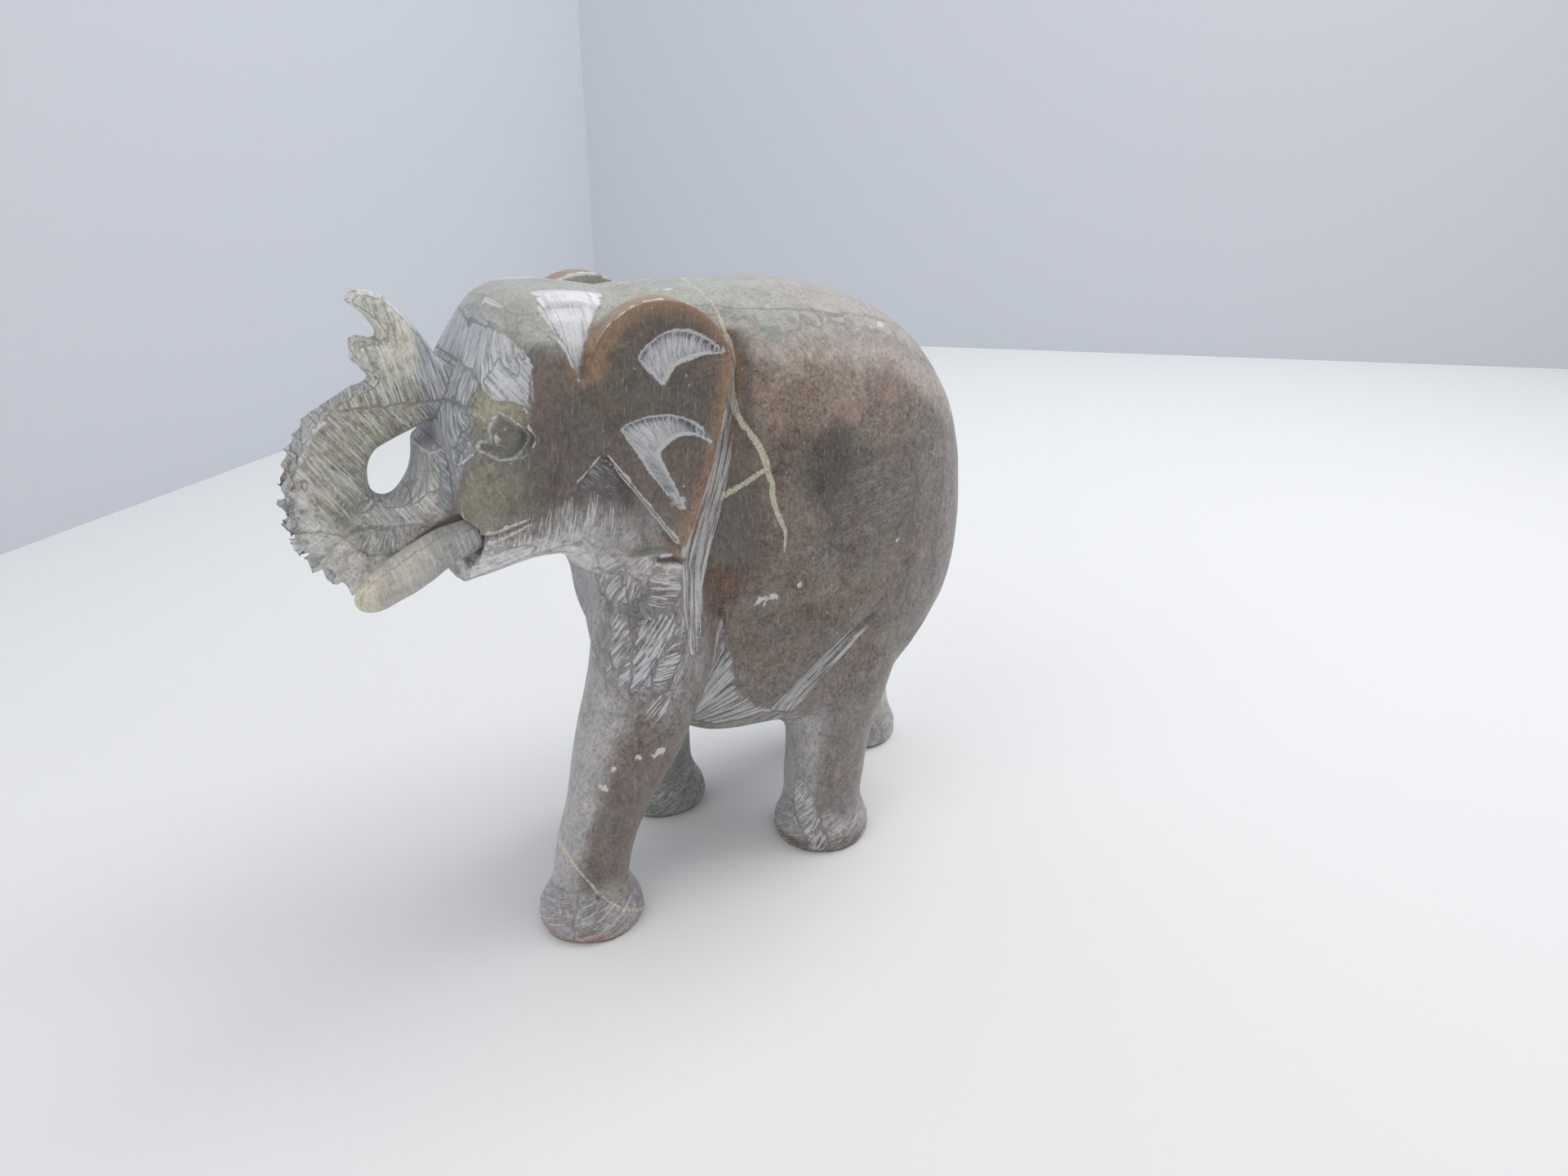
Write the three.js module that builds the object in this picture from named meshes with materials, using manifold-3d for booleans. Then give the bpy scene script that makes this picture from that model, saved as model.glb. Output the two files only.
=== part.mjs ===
// A carved stone elephant with a raised trunk, standing on four flat soles.
//
// Millimetres, +Z up. The elephant faces -Y and its left side is +X. While it is being shaped, Y is
// measured back from the front of the chest and Z up from the soles. At the end the whole group is
// moved so that its origin is the middle of its footprint, on the surface that it stands on.
//
// The body, head, ears, trunk and legs are one stone. The two tusks are pegs glued into sockets.

import * as THREE from 'three';
import { LoftGeometry } from 'three/addons/geometries/LoftGeometry.js';
import { mergeVertices } from 'three/addons/utils/BufferGeometryUtils.js';
import Module from 'manifold-3d';

const wasm = await Module();
wasm.setup();

// ---- Driving dimensions ----

// torso
const TORSO_LENGTH = 90;      // chest to rump
const TORSO_WIDTH = 54;
const BACK_HEIGHT = 127;      // soles to the top of the withers
const BELLY_HEIGHT = 28;      // soles to the underside

// legs
const TRACK = 32;             // between the middles of a left and a right sole
const STRIDE = 32;            // how far each left sole stands ahead of the right one
const WHEELBASE = 58;         // front sole to rear sole on either side
const SOLE_RADIUS = 10.8;
const FOOT_RADIUS = 11.6;     // at the bulge just above the sole
const FRONT_ANKLE_RADIUS = 8.2;
const REAR_ANKLE_RADIUS = 9.2;
const THIGH_RADIUS = 13;
const HIP_RISE = 33;          // underside up to the middle of a hip
const HIP_LEAN = 4.5;         // how far each hip follows its striding foot
const LEG_TOP_TUCK = 4.5;     // how far the buried top of a leg leans in under the back

// head
const HEAD_LENGTH = 25;       // chest line to the front of the face
const HEAD_WIDTH = 38;
const CROWN_HEIGHT = 129;     // soles to the top of the head
const JAW_HEIGHT = 76;        // soles to the lower lip

// the places of the features on the head
const EAR_SETBACK = 13.6;     // chest line back to the middle of the ear's round
const EAR_FALL = 15.8;        // crown down to the middle of the ear's round
const EYE_SETBACK = 8.6;      // front of the face back to the middle of the eye
const EYE_SHARE = 0.562;      // share of the head's height, from the jaw up
const LOOP_SHARE = 0.453;     // the same for the middle of the hole through the trunk
const LOOP_REACH = 7.3;       // front of the face forward to the middle of that hole
const MOUTH_RISE = 10;        // lower lip up to where a tusk comes out
const MOUTH_REACH = 2;        // front of the face forward to there

// ears
const EAR_RADIUS = 14.1;      // round top of the ear
const EAR_DROP = 33.6;        // middle of that round down to the ear's tip
const EAR_DEPTH = 6;          // most of it is buried in the neck
const EAR_TILT = 0.1;         // radians that the ear's face flares outward to the rear
const EAR_RELIEF = 0.6;       // how far its face stands proud of the neck
const EAR_BEVEL = 0.6;
const CRESCENT_DEPTH = 1.6;   // the two hollows cut into each ear

// eyes
const EYE_LENGTH = 7.2;
const EYE_GROOVE_DEPTH = 1.1;

// trunk
const TRUNK_WIDTH = 10;       // across the ridged front
const LOOP_LENGTH = 14;       // the slanted hole through the curl, along its long way
const LOOP_WIDTH = 9.5;
const LOOP_SLANT = 25;        // degrees from upright
const TOOTH_COUNT = 15;       // carved ridges along the outside of the curl
const TOOTH_HEIGHT = 1.5;

// tusks
const TUSK_LENGTH = 23;       // with the peg end in its socket
const TUSK_RADIUS = 4;
const TUSK_SPREAD = 20.5;     // between the two tusks
const SOCKET_DEPTH = 5.5;
const POCKET_MARGIN = 1.6;    // the hollow round the tusk's root, beyond the tusk's radius
const GLUE_GAP = 0.3;         // all round the tusk in its socket

// tail, in low relief
const TAIL_WIDTH = 5.2;
const TAIL_DEPTH = 3.4;       // about half of it is buried in the rump

// ---- Places worked out from them ----

const SIDES = [1, -1];        // left, right
const flank = TORSO_WIDTH / 2;
const neck = HEAD_WIDTH / 2;
const face = -HEAD_LENGTH;
const hipHeight = BELLY_HEIGHT + HIP_RISE;
const headHeight = CROWN_HEIGHT - JAW_HEIGHT;
const ear = { y: EAR_SETBACK, z: CROWN_HEIGHT - EAR_FALL };
const eye = { y: face + EYE_SETBACK, z: JAW_HEIGHT + EYE_SHARE * headHeight };
const loop = { y: face - LOOP_REACH, z: JAW_HEIGHT + LOOP_SHARE * headHeight };
const mouth = { x: TUSK_SPREAD / 2, y: face - MOUTH_REACH, z: JAW_HEIGHT + MOUTH_RISE };

// ---- Solids ----

function toSolid(geometry) {
  const bare = new THREE.BufferGeometry();
  bare.setAttribute('position', geometry.attributes.position);
  bare.setIndex(geometry.index);
  const merged = mergeVertices(bare, 1e-4);
  return new wasm.Manifold(new wasm.Mesh({
    numProp: 3,
    vertProperties: new Float32Array(merged.attributes.position.array),
    triVerts: new Uint32Array(merged.index.array),
  }));
}

function toGeometry(solid) {
  const mesh = solid.getMesh();
  const geometry = new THREE.BufferGeometry();
  geometry.setAttribute('position', new THREE.BufferAttribute(mesh.vertProperties, 3));
  geometry.setIndex(new THREE.BufferAttribute(mesh.triVerts, 1));
  return geometry;
}

// ---- Lofts ----
// Each station of a loft is a cross-section that spans two edges a and b, both [y, z] in the side
// view, and reaches half its width to either side of x. squareness 2 makes it an ellipse and a
// larger number makes it boxier.

function sectionPoints({ a, b, x, half }, squareness, count) {
  const rounding = 2 / squareness;
  const points = [];
  for (let i = 0; i < count; i++) {
    const angle = (2 * Math.PI * i) / count;
    const across = Math.sign(Math.cos(angle)) * Math.abs(Math.cos(angle)) ** rounding;
    const up = Math.sign(Math.sin(angle)) * Math.abs(Math.sin(angle)) ** rounding;
    const y = (a[0] + b[0]) / 2 + (up * (a[0] - b[0])) / 2;
    const z = (a[1] + b[1]) / 2 + (up * (a[1] - b[1])) / 2;
    points.push(new THREE.Vector3(x + half * across, y, z));
  }
  return points;
}

function smoothStations(stations, stepsBetween) {
  const curve = (pick) => new THREE.SplineCurve(stations.map((s) => new THREE.Vector2(...pick(s))));
  const edgeA = curve((s) => s.a);
  const edgeB = curve((s) => s.b);
  const widths = curve((s) => [s.x ?? 0, s.half]);
  const total = (stations.length - 1) * stepsBetween;
  const smooth = [];
  for (let i = 0; i <= total; i++) {
    const [a, b, w] = [edgeA, edgeB, widths].map((c) => c.getPoint(i / total));
    smooth.push({ a: [a.x, a.y], b: [b.x, b.y], x: w.x, half: w.y });
  }
  return smooth;
}

function runsForward(stations) {
  const [first, second] = stations;
  const middle = ({ a, b }) => [(a[0] + b[0]) / 2, (a[1] + b[1]) / 2];
  const [y0, z0] = middle(first);
  const [y1, z1] = middle(second);
  const [upY, upZ] = [first.a[0] - first.b[0], first.a[1] - first.b[1]];
  return (z1 - z0) * upY - (y1 - y0) * upZ > 0;
}

function loft(stations, { squareness = 2, count = 20, stepsBetween = 2 } = {}) {
  const sections = smoothStations(stations, stepsBetween)
    .map((station) => sectionPoints(station, squareness, count));
  if (!runsForward(stations)) sections.forEach((points) => points.reverse());
  return toSolid(new LoftGeometry(sections, { capStart: true, capEnd: true }));
}

// stations for a round bar whose middle line runs through [y, z] points with a radius at each
function barStations(line, x, flatness = 1) {
  const curve = new THREE.SplineCurve(line.map(([y, z]) => new THREE.Vector2(y, z)));
  return line.map(([y, z, radius], i) => {
    const along = curve.getTangent(i / (line.length - 1));
    const [outY, outZ] = [-along.y * radius, along.x * radius];
    return { a: [y + outY, z + outZ], b: [y - outY, z - outZ], x, half: radius * flatness };
  });
}

// ---- Flat outlines drawn in the side view and given a thickness across X ----

function sidePlate(shape, thickness, bevel = 0) {
  const geometry = new THREE.ExtrudeGeometry(shape, {
    depth: thickness - bevel,
    curveSegments: 8,
    bevelEnabled: bevel > 0,
    bevelThickness: bevel,
    bevelSize: bevel,
    bevelOffset: -bevel,
    bevelSegments: 1,
  });
  // shape x becomes Y, shape y becomes Z, and the thickness runs along X
  geometry.applyMatrix4(new THREE.Matrix4().makeBasis(
    new THREE.Vector3(0, 1, 0), new THREE.Vector3(0, 0, 1), new THREE.Vector3(1, 0, 0),
  ));
  return toSolid(geometry);
}

function mirrored(solid) {
  return solid.mirror([1, 0, 0]);
}

// ---- Torso ----

function torso() {
  // share of the length, drop of the back, rise of the belly, half width
  const table = [
    [0.02, 8, 33, 0.5 * neck],
    [0.06, 2, 24, 0.72 * neck],
    [0.15, 0, 9, 0.97 * neck],
    [0.28, 0, 0.5, neck + 0.25 * (flank - neck)],
    [0.39, 1, 0.5, neck + 0.75 * (flank - neck)],
    [0.52, 1.6, 0, flank],
    [0.65, 4, 2, flank],
    [0.77, 8.8, 6, 0.95 * flank],
    [0.865, 16.8, 14, 0.86 * flank],
    [0.935, 27.2, 22, 0.71 * flank],
    [0.98, 40, 30, 0.49 * flank],
    [1, 50, 38, 0.22 * flank],
  ];
  const stations = table.map(([share, drop, rise, half]) => ({
    a: [share * TORSO_LENGTH, BACK_HEIGHT - drop],
    b: [share * TORSO_LENGTH, BELLY_HEIGHT + rise],
    half,
  }));
  return loft(stations, { squareness: 3.1, count: 28 });
}

// ---- Legs ----
// Every section is level, so the sole is flat. The leg runs from its hip inside the torso down to
// its sole, and all of its swing is between the hip and the ankle.

function leg(side, soleY, hipY, ankleRadius) {
  // share of the hip's height, radius
  const table = [
    [0, SOLE_RADIUS],
    [0.045, FOOT_RADIUS],
    [0.1, (FOOT_RADIUS + ankleRadius) / 2],
    [0.17, ankleRadius],
    [0.3, ankleRadius + 0.5],
    [0.44, ankleRadius + 0.25 * (THIGH_RADIUS - ankleRadius)],
    [0.6, ankleRadius + 0.75 * (THIGH_RADIUS - ankleRadius)],
    [0.8, THIGH_RADIUS],
    [1, THIGH_RADIUS],
    [1.3, 0.84 * THIGH_RADIUS],
  ];
  const hipX = flank - THIGH_RADIUS - 1;
  const stations = table.map(([share, radius]) => {
    const swing = THREE.MathUtils.smoothstep(share, 0.1, 1);
    const y = soleY + (hipY - soleY) * swing;
    const z = share * hipHeight;
    const tuckedIn = share > 1 ? hipX - LEG_TOP_TUCK : TRACK / 2 + (hipX - TRACK / 2) * swing;
    const x = side * tuckedIn;
    return { a: [y - radius, z], b: [y + radius, z], x, half: radius };
  });
  return loft(stations, { count: 18 });
}

function legs() {
  const frontHipY = 15.5;
  const rearHipY = frontHipY + 0.82 * WHEELBASE;
  const frontSoleY = 8.2;
  return SIDES.flatMap((side) => {
    const soleY = frontSoleY - (side * STRIDE) / 2;
    const lean = -side * HIP_LEAN;
    return [
      leg(side, soleY, frontHipY + lean, FRONT_ANKLE_RADIUS),
      leg(side, soleY + WHEELBASE, rearHipY + lean, REAR_ANKLE_RADIUS),
    ];
  });
}

// ---- Head ----

function head() {
  // top edge [y, drop below the crown], jaw edge [y, rise above the jaw], half width
  const table = [
    [16, 4, 14, -12, 0.84 * neck],
    [5, 1.2, 2, -6, 0.95 * neck],
    [0.2 * face, 0, 0.14 * face, 1.6, neck],
    [0.48 * face, 1.6, 0.38 * face, 3.1, 0.97 * neck],
    [0.7 * face, 8.5, 0.6 * face, 2.6, 0.91 * neck],
    [0.87 * face, 14.5, 0.82 * face, 1.2, 0.81 * neck],
    [face, 22, 0.98 * face, -0.2, 0.64 * neck],
  ];
  const stations = table.map(([topY, drop, jawY, rise, half]) => ({
    a: [topY, CROWN_HEIGHT - drop],
    b: [jawY, JAW_HEIGHT + rise],
    half,
  }));
  return loft(stations, { squareness: 3.8, count: 24 });
}

// ---- Ears ----
// Each ear is a heart-shaped relief: a small temple lobe in front, a notch, the big round lobe, and
// a straight front edge that runs down to the tip.

// an outline from a start point: two numbers run straight to a point, four give a bend and its end
function outline(centre, unit, start, ...runs) {
  const place = ([y, z, ...rest]) => (
    [centre.y + y * unit, centre.z + z * unit, ...(rest.length ? place(rest) : [])]
  );
  const shape = new THREE.Shape();
  shape.moveTo(...place(start));
  for (const run of runs) {
    if (run.length === 2) shape.lineTo(...place(run));
    else shape.quadraticCurveTo(...place(run));
  }
  return shape;
}

function earShape() {
  const tip = [0.26, -EAR_DROP / EAR_RADIUS];
  const shape = outline(ear, EAR_RADIUS, tip, [0.85, 0.5 * tip[1], 0.99, -0.1]);
  shape.absarc(ear.y, ear.z, EAR_RADIUS, 0, 0.98 * Math.PI);
  const temple = { y: ear.y - 1.49 * EAR_RADIUS, z: ear.z + 0.33 * EAR_RADIUS, radius: 0.37 * EAR_RADIUS };
  shape.absarc(temple.y, temple.z, temple.radius, 0, 0.95 * Math.PI);
  shape.lineTo(ear.y - 1.8 * EAR_RADIUS, ear.z - 0.62 * EAR_RADIUS);
  shape.lineTo(ear.y - 1.36 * EAR_RADIUS, ear.z - 1.42 * EAR_RADIUS);
  shape.lineTo(ear.y - 0.83 * EAR_RADIUS, ear.z - 0.93 * EAR_RADIUS);
  shape.lineTo(ear.y + 0.12 * EAR_RADIUS, ear.z - 0.97 * EAR_DROP);
  return shape;
}

function crescentShapes() {
  const upper = outline(ear, EAR_RADIUS, [-0.27, 0.29],
    [0.18, 0.85, 0.82, 0.27], [0.46, 0.34, 0.11, 0.14], [0.01, -0.05]);
  const lower = outline(ear, EAR_RADIUS, [-0.54, -0.59],
    [0.18, -0.31, 0.64, -0.88], [0.2, -0.54, -0.13, -0.98], [-0.02, -1.22, 0.2, -1.77],
    [-0.18, -1.23, -0.54, -0.59]);
  return [upper, lower];
}

// puts a plate that starts at X = 0 on the left of the neck, flaring outward to the rear
function onEarPlane(plate, startX) {
  const hinge = ear.y - EAR_RADIUS;
  return plate
    .translate([startX, -hinge, 0])
    .rotate([0, 0, (-EAR_TILT * 180) / Math.PI])
    .translate([0, hinge, 0]);
}

function leftEar() {
  const faceX = neck + EAR_RELIEF;
  const plate = onEarPlane(sidePlate(earShape(), EAR_DEPTH, EAR_BEVEL), faceX - EAR_DEPTH);
  const cutters = crescentShapes().map((shape) => (
    onEarPlane(sidePlate(shape, 2 * CRESCENT_DEPTH), faceX - CRESCENT_DEPTH)
  ));
  return { plate, cutters };
}

// ---- Eyes ----

function leftEye() {
  const half = EYE_LENGTH / 2;
  const almond = outline(eye, half, [1.2, -0.1],
    [0.2, 1.1, -0.3, 1.3], [-0.9, 0.9, -0.9, -0.1], [-2.4, -0.1],
    [-1.3, -0.6, -0.8, -0.95], [0.4, -1.7, 1.2, -0.1]);
  const surfaceX = 0.92 * neck;
  const groove = sidePlate(almond, 4 * EYE_GROOVE_DEPTH).translate([surfaceX - EYE_GROOVE_DEPTH, 0, 0]);
  const ball = new THREE.SphereGeometry(0.78 * half, 10, 8);
  ball.scale(0.55, 1, 1.1);
  ball.translate(surfaceX - EYE_GROOVE_DEPTH, eye.y, eye.z);
  return { groove, ball: toSolid(ball) };
}

// ---- Trunk ----
// The trunk leaves the face between the tusks, curls down and forward round a slanted hole, comes
// back up to touch the forehead, and ends in two fingers.

function loopEdge(angle, thickness) {
  // angle turns from straight back, through straight down, to straight forward
  const slant = THREE.MathUtils.degToRad(LOOP_SLANT);
  const direction = [Math.cos(angle), -Math.sin(angle)];
  const along = direction[0] * Math.sin(slant) + direction[1] * Math.cos(slant);
  const across = direction[0] * Math.cos(slant) - direction[1] * Math.sin(slant);
  const hole = 1 / Math.hypot(along / (LOOP_LENGTH / 2), across / (LOOP_WIDTH / 2));
  const radius = hole + thickness;
  return [loop.y + radius * direction[0], loop.z + radius * direction[1]];
}

// turn in degrees, swell into the hole, thickness outside the hole, half width
const CURL = [
  [-25, 0.9, 5, 0.8 * TRUNK_WIDTH],
  [10, 0.6, 8, 0.92 * TRUNK_WIDTH],
  [45, 0.4, 12, 0.9 * TRUNK_WIDTH],
  [76, 0.4, 14, 0.78 * TRUNK_WIDTH],
  [98, 0.4, 16, 0.62 * TRUNK_WIDTH],
  [116, 0.4, 17.5, 0.54 * TRUNK_WIDTH],
  [138, 0.4, 17, TRUNK_WIDTH / 2],
  [163, 0.5, 15, TRUNK_WIDTH / 2],
  [190, 0.5, 12.2, TRUNK_WIDTH / 2],
  [220, 0.9, 10, TRUNK_WIDTH / 2],
  [250, 2, 8.4, TRUNK_WIDTH / 2],
];

function curl() {
  const bend = CURL.map(([degrees, swell, thickness, half]) => {
    const angle = THREE.MathUtils.degToRad(degrees);
    return { a: loopEdge(angle, -swell), b: loopEdge(angle, thickness), half };
  });
  const tip = { a: [loop.y + 9.5, loop.z + 7.5], b: [loop.y + 1, loop.z + 17.5], half: 0.52 * TRUNK_WIDTH };
  const buried = { a: [face + 7, loop.z + 11], b: [face + 1, loop.z + 20], half: 0.4 * TRUNK_WIDTH };
  return loft([...bend, tip, buried], { squareness: 3, count: 14 });
}

function fingers() {
  const half = 0.46 * TRUNK_WIDTH;
  const upper = [
    { a: [loop.y + 0.5, loop.z + 11], b: [loop.y + 10.5, loop.z + 11], half },
    { a: [loop.y + 0.3, loop.z + 18], b: [loop.y + 9.2, loop.z + 19.4], half },
    { a: [loop.y - 0.2, loop.z + 23.3], b: [loop.y + 5.6, loop.z + 25], half: 0.95 * half },
    { a: [loop.y - 2.8, loop.z + 26.8], b: [loop.y + 2, loop.z + 29], half: 0.85 * half },
    { a: [loop.y - 4.4, loop.z + 28], b: [loop.y - 1.9, loop.z + 30.4], half: 0.65 * half },
  ];
  const lower = [
    { a: [loop.y + 4, loop.z + 21], b: [loop.y + 2, loop.z + 11.5], half },
    { a: [loop.y - 0.5, loop.z + 22], b: [loop.y - 1.2, loop.z + 14.5], half },
    { a: [loop.y - 3.4, loop.z + 23], b: [loop.y - 3.9, loop.z + 16.4], half: 0.9 * half },
    { a: [loop.y - 5.4, loop.z + 22.2], b: [loop.y - 5.5, loop.z + 18.4], half: 0.65 * half },
  ];
  return [upper, lower].map((stations) => loft(stations, { squareness: 2.6, count: 12 }));
}

function teeth() {
  const solids = [];
  const [first, last] = [CURL[5], CURL[CURL.length - 1]];
  for (let i = 0; i < TOOTH_COUNT; i++) {
    const degrees = first[0] + ((last[0] - first[0]) * i) / (TOOTH_COUNT - 1);
    const next = CURL.findIndex(([turn]) => turn > degrees - 1e-6);
    const [before, after] = [CURL[Math.max(next - 1, 0)], CURL[next]];
    const share = (degrees - before[0]) / Math.max(after[0] - before[0], 1e-6);
    const thickness = THREE.MathUtils.lerp(before[2], after[2], share);
    const angle = THREE.MathUtils.degToRad(degrees);
    const [y, z] = loopEdge(angle, thickness - 0.2);
    const edge = TOOTH_HEIGHT * Math.SQRT2;
    const ridge = new THREE.BoxGeometry(0.86 * TRUNK_WIDTH, edge, edge);
    ridge.rotateX(Math.PI / 4 - angle);
    ridge.translate(0, y, z);
    solids.push(toSolid(ridge));
  }
  return solids;
}

// ---- Tail, carved in low relief down the middle of the rump ----

function tail() {
  // share of the torso's length, share of its height, share of the full depth
  const line = [
    [0.87, 0.81, 0.8],
    [0.92, 0.745, 1],
    [0.96, 0.665, 1],
    [0.99, 0.55, 1],
    [0.985, 0.4, 1.1],
    [0.955, 0.3, 1.2],
    [0.925, 0.24, 0.8],
  ].map(([share, rise, depth]) => [
    share * TORSO_LENGTH,
    BELLY_HEIGHT + rise * (BACK_HEIGHT - BELLY_HEIGHT),
    (depth * TAIL_DEPTH) / 2,
  ]);
  return loft(barStations(line, 0, TAIL_WIDTH / TAIL_DEPTH), { squareness: 2.4, count: 8 });
}

// ---- Tusks ----

function tuskStations(side, grow) {
  const free = TUSK_LENGTH - SOCKET_DEPTH;
  // how far forward of the mouth, how far below it, radius
  const line = [
    [-SOCKET_DEPTH - grow, -1.4, 0.84 * TUSK_RADIUS],
    [0, 0, 0.95 * TUSK_RADIUS],
    [0.27 * free, 0.12 * free, TUSK_RADIUS],
    [0.56 * free, 0.27 * free, TUSK_RADIUS],
    [0.8 * free, 0.38 * free, 0.88 * TUSK_RADIUS],
    [0.94 * free, 0.44 * free, 0.6 * TUSK_RADIUS],
    [free, 0.46 * free, 0.22 * TUSK_RADIUS],
  ].map(([forward, drop, radius]) => [mouth.y - forward, mouth.z - drop, radius + grow]);
  return barStations(line, side * mouth.x);
}

function tusk(side) {
  return loft(tuskStations(side, 0), { count: 12 });
}

function tuskSocket(side) {
  return loft(tuskStations(side, GLUE_GAP), { count: 12 });
}

// the hollow that the tusk comes out of
function tuskPocket(side) {
  const hollow = new THREE.SphereGeometry(TUSK_RADIUS + POCKET_MARGIN, 12, 8);
  hollow.translate(side * mouth.x, mouth.y, mouth.z);
  return toSolid(hollow);
}

// ---- The whole elephant ----

function carvedElephant() {
  const { plate, cutters } = leftEar();
  const { groove, ball } = leftEye();
  const cutAway = [
    groove, mirrored(groove), ...cutters, ...cutters.map(mirrored), ...SIDES.map(tuskPocket),
  ];
  const stone = wasm.Manifold.union([torso(), head(), plate, mirrored(plate), ...legs(), tail()]);
  const trunk = wasm.Manifold.union([curl(), ...fingers(), ...teeth()]);
  const solid = wasm.Manifold.union([
    stone.subtract(wasm.Manifold.union(cutAway)), ball, mirrored(ball), trunk,
  ]);
  return solid.subtract(wasm.Manifold.union(SIDES.map(tuskSocket)));
}

const stone = { color: 0x857b70, roughness: 0.62, metalness: 0 };
const paleStone = { color: 0xb9b29a, roughness: 0.5, metalness: 0 };

function node(name, solid, look) {
  const mesh = new THREE.Mesh(toGeometry(solid), new THREE.MeshStandardMaterial(look));
  mesh.name = name;
  return mesh;
}

const elephant = new THREE.Group();
elephant.add(
  node('carved_elephant', carvedElephant(), stone),
  node('tusk_left', tusk(1), paleStone),
  node('tusk_right', tusk(-1), paleStone),
);

// the origin goes to the middle of the footprint, level with the soles
const box = new THREE.Box3().setFromObject(elephant);
const middle = box.getCenter(new THREE.Vector3());
elephant.position.set(-middle.x, -middle.y, -box.min.z);

export default elephant;
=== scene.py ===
"""A soft-stone elephant, carved by hand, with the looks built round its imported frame.

Sculpting is done on numpy arrays in millimetres. The elephant faces -Y and its left is +X, so a
place on its side is given as (y, z). A left-side feature is repeated on the right.
"""
import itertools
import math

import bmesh
import bpy
import numpy as np
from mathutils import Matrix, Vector


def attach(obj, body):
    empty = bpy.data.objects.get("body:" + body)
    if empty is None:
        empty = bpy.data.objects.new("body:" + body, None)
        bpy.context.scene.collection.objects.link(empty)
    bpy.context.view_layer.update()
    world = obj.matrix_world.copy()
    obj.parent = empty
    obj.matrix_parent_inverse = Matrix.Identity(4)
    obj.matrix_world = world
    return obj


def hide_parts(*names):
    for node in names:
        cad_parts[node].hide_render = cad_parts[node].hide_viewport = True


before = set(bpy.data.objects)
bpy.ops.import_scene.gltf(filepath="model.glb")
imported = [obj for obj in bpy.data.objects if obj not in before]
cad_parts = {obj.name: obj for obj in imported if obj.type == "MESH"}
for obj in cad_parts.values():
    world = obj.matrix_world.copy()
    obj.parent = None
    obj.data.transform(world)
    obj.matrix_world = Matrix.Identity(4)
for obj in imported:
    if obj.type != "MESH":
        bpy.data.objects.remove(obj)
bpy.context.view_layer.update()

MM = 0.001

# ---- Places on the elephant, in millimetres ----

EAR_CENTRE = (-8.7, 113.2)
EAR_RADIUS = 14.1
TEMPLE_CENTRE = (-29.6, 117.8)
NOTCH_TIP = (-22.9, 113.4)
STEP_CORNER = (-20.0, 100.4)        # where the ear's front edge meets the cheek
EAR_TIP = (-6.4, 80.4)
EYE_CENTRE = (-36.6, 105.8)
EYE_HALF = 3.6
LOOP_CENTRE = (-52.5, 100.0)        # the hole through the curled trunk
CHANNEL = [(6.4, 118), (5.6, 109), (3.6, 99), (1.4, 90), (-1.8, 80), (-4.2, 70), (-6.8, 58)]
THIGH_GROOVE = [(37.4, 58.6), (31, 54), (25.2, 48.7), (20.5, 43), (17, 36)]
ELBOW_GROOVE = [(2.3, 66), (2.8, 53), (-1.5, 45), (-6, 40)]
ELBOW_FAN = np.array([(-5.6, 38.5), (2.1, 62.8), (4.4, 53.5), (5.4, 46), (10, 41), (15.4, 37.4),
                      (4, 34.5)])
BROW_GROOVE = [(-42, 120), (-41, 112), (-43.5, 104), (-46, 101)]
LIP_LINE = [(-47, 86.6), (-40, 87.6), (-33, 90.2)]
EAR_CRACK = [(-11, 78.2), (-7.5, 77.6), (-4.6, 76.4)]
VEIN = [(5.4, 130), (6.8, 122.6), (7, 117), (5.8, 110.6), (7, 104.6), (10.4, 97.4), (12.6, 90.6),
        (13.9, 82), (14.2, 76)]
VEIN_HALF_WIDTHS = [(0, 0.3), (8, 0.3), (13, 0.7), (20, 0.9), (27, 0.7), (40, 0.8), (50, 0.5),
                    (56, 0.15)]         # distance along the vein, half width
VEIN_BRANCH = [(11.4, 93.4), (6, 90), (1.6, 87.6), (-2.3, 84.3)]
ANKLE_VEIN = [(-36, 25.5), (-32.5, 17), (-29.4, 9.6), (-24, 5.4), (-20, 2)]
SINGLE_CHIPS = [((-14.9, 40.4), 1.1), ((-16.5, 39.8), 0.6), ((-19.4, 39.9), 0.7),
                ((-24, 37.7), 0.6), ((-26, 33.6), 0.8), ((35.3, 92.3), 0.8),
                ((41.3, 73.5), 0.6), ((17.9, 68.6), 0.8), ((10.2, 66), 1.1),
                ((12.4, 66.8), 0.8), ((41.8, 117), 0.9), ((-33, 126.5), 0.7)]
SHOULDER_LINE = [(-60, 123), (5, 118.4), (23, 116.4), (42, 110.9), (58, 101), (75, 86)]

# ---- How finely it is carved ----

STONE_GRAIN = 0.45                  # size of the small faces that are carved, in millimetres
TUSK_GRAIN = 0.32
FACES_KEPT = {"plain": 0.45, "detailed": 0.71}
SOLE_RISE = 0.45                    # anything lower is part of a sole, and lies flat
BEND_STEPS = 8

# ---- Colours, 0 to 255 as seen on screen ----

THREAD = (186, 182, 172)
PIT = (62, 56, 50)
CRUMB = (212, 212, 210)
DULL_CRYSTAL, BRIGHT_CRYSTAL = (172, 166, 140), (220, 217, 200)
# dust and painted shade for hollow corners and cracks
DUST_AND_SHADE = (74, 70, 64)
CHIP = (214, 214, 212)
STROKE_SHADOW = (60, 58, 58)
COOL_POWDER, WARM_POWDER = (224, 226, 230), (226, 226, 222)
FLOOR_PAPER, WALL_PAPER = (233, 234, 234), (207, 211, 219)


# ---- Small tools ----

def ramp(low, high, value):
    """0 at low, 1 at high, easing in and out; low may be the larger number"""
    share = np.clip((value - low) / (high - low), 0, 1)
    return share * share * (3 - 2 * share)


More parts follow.
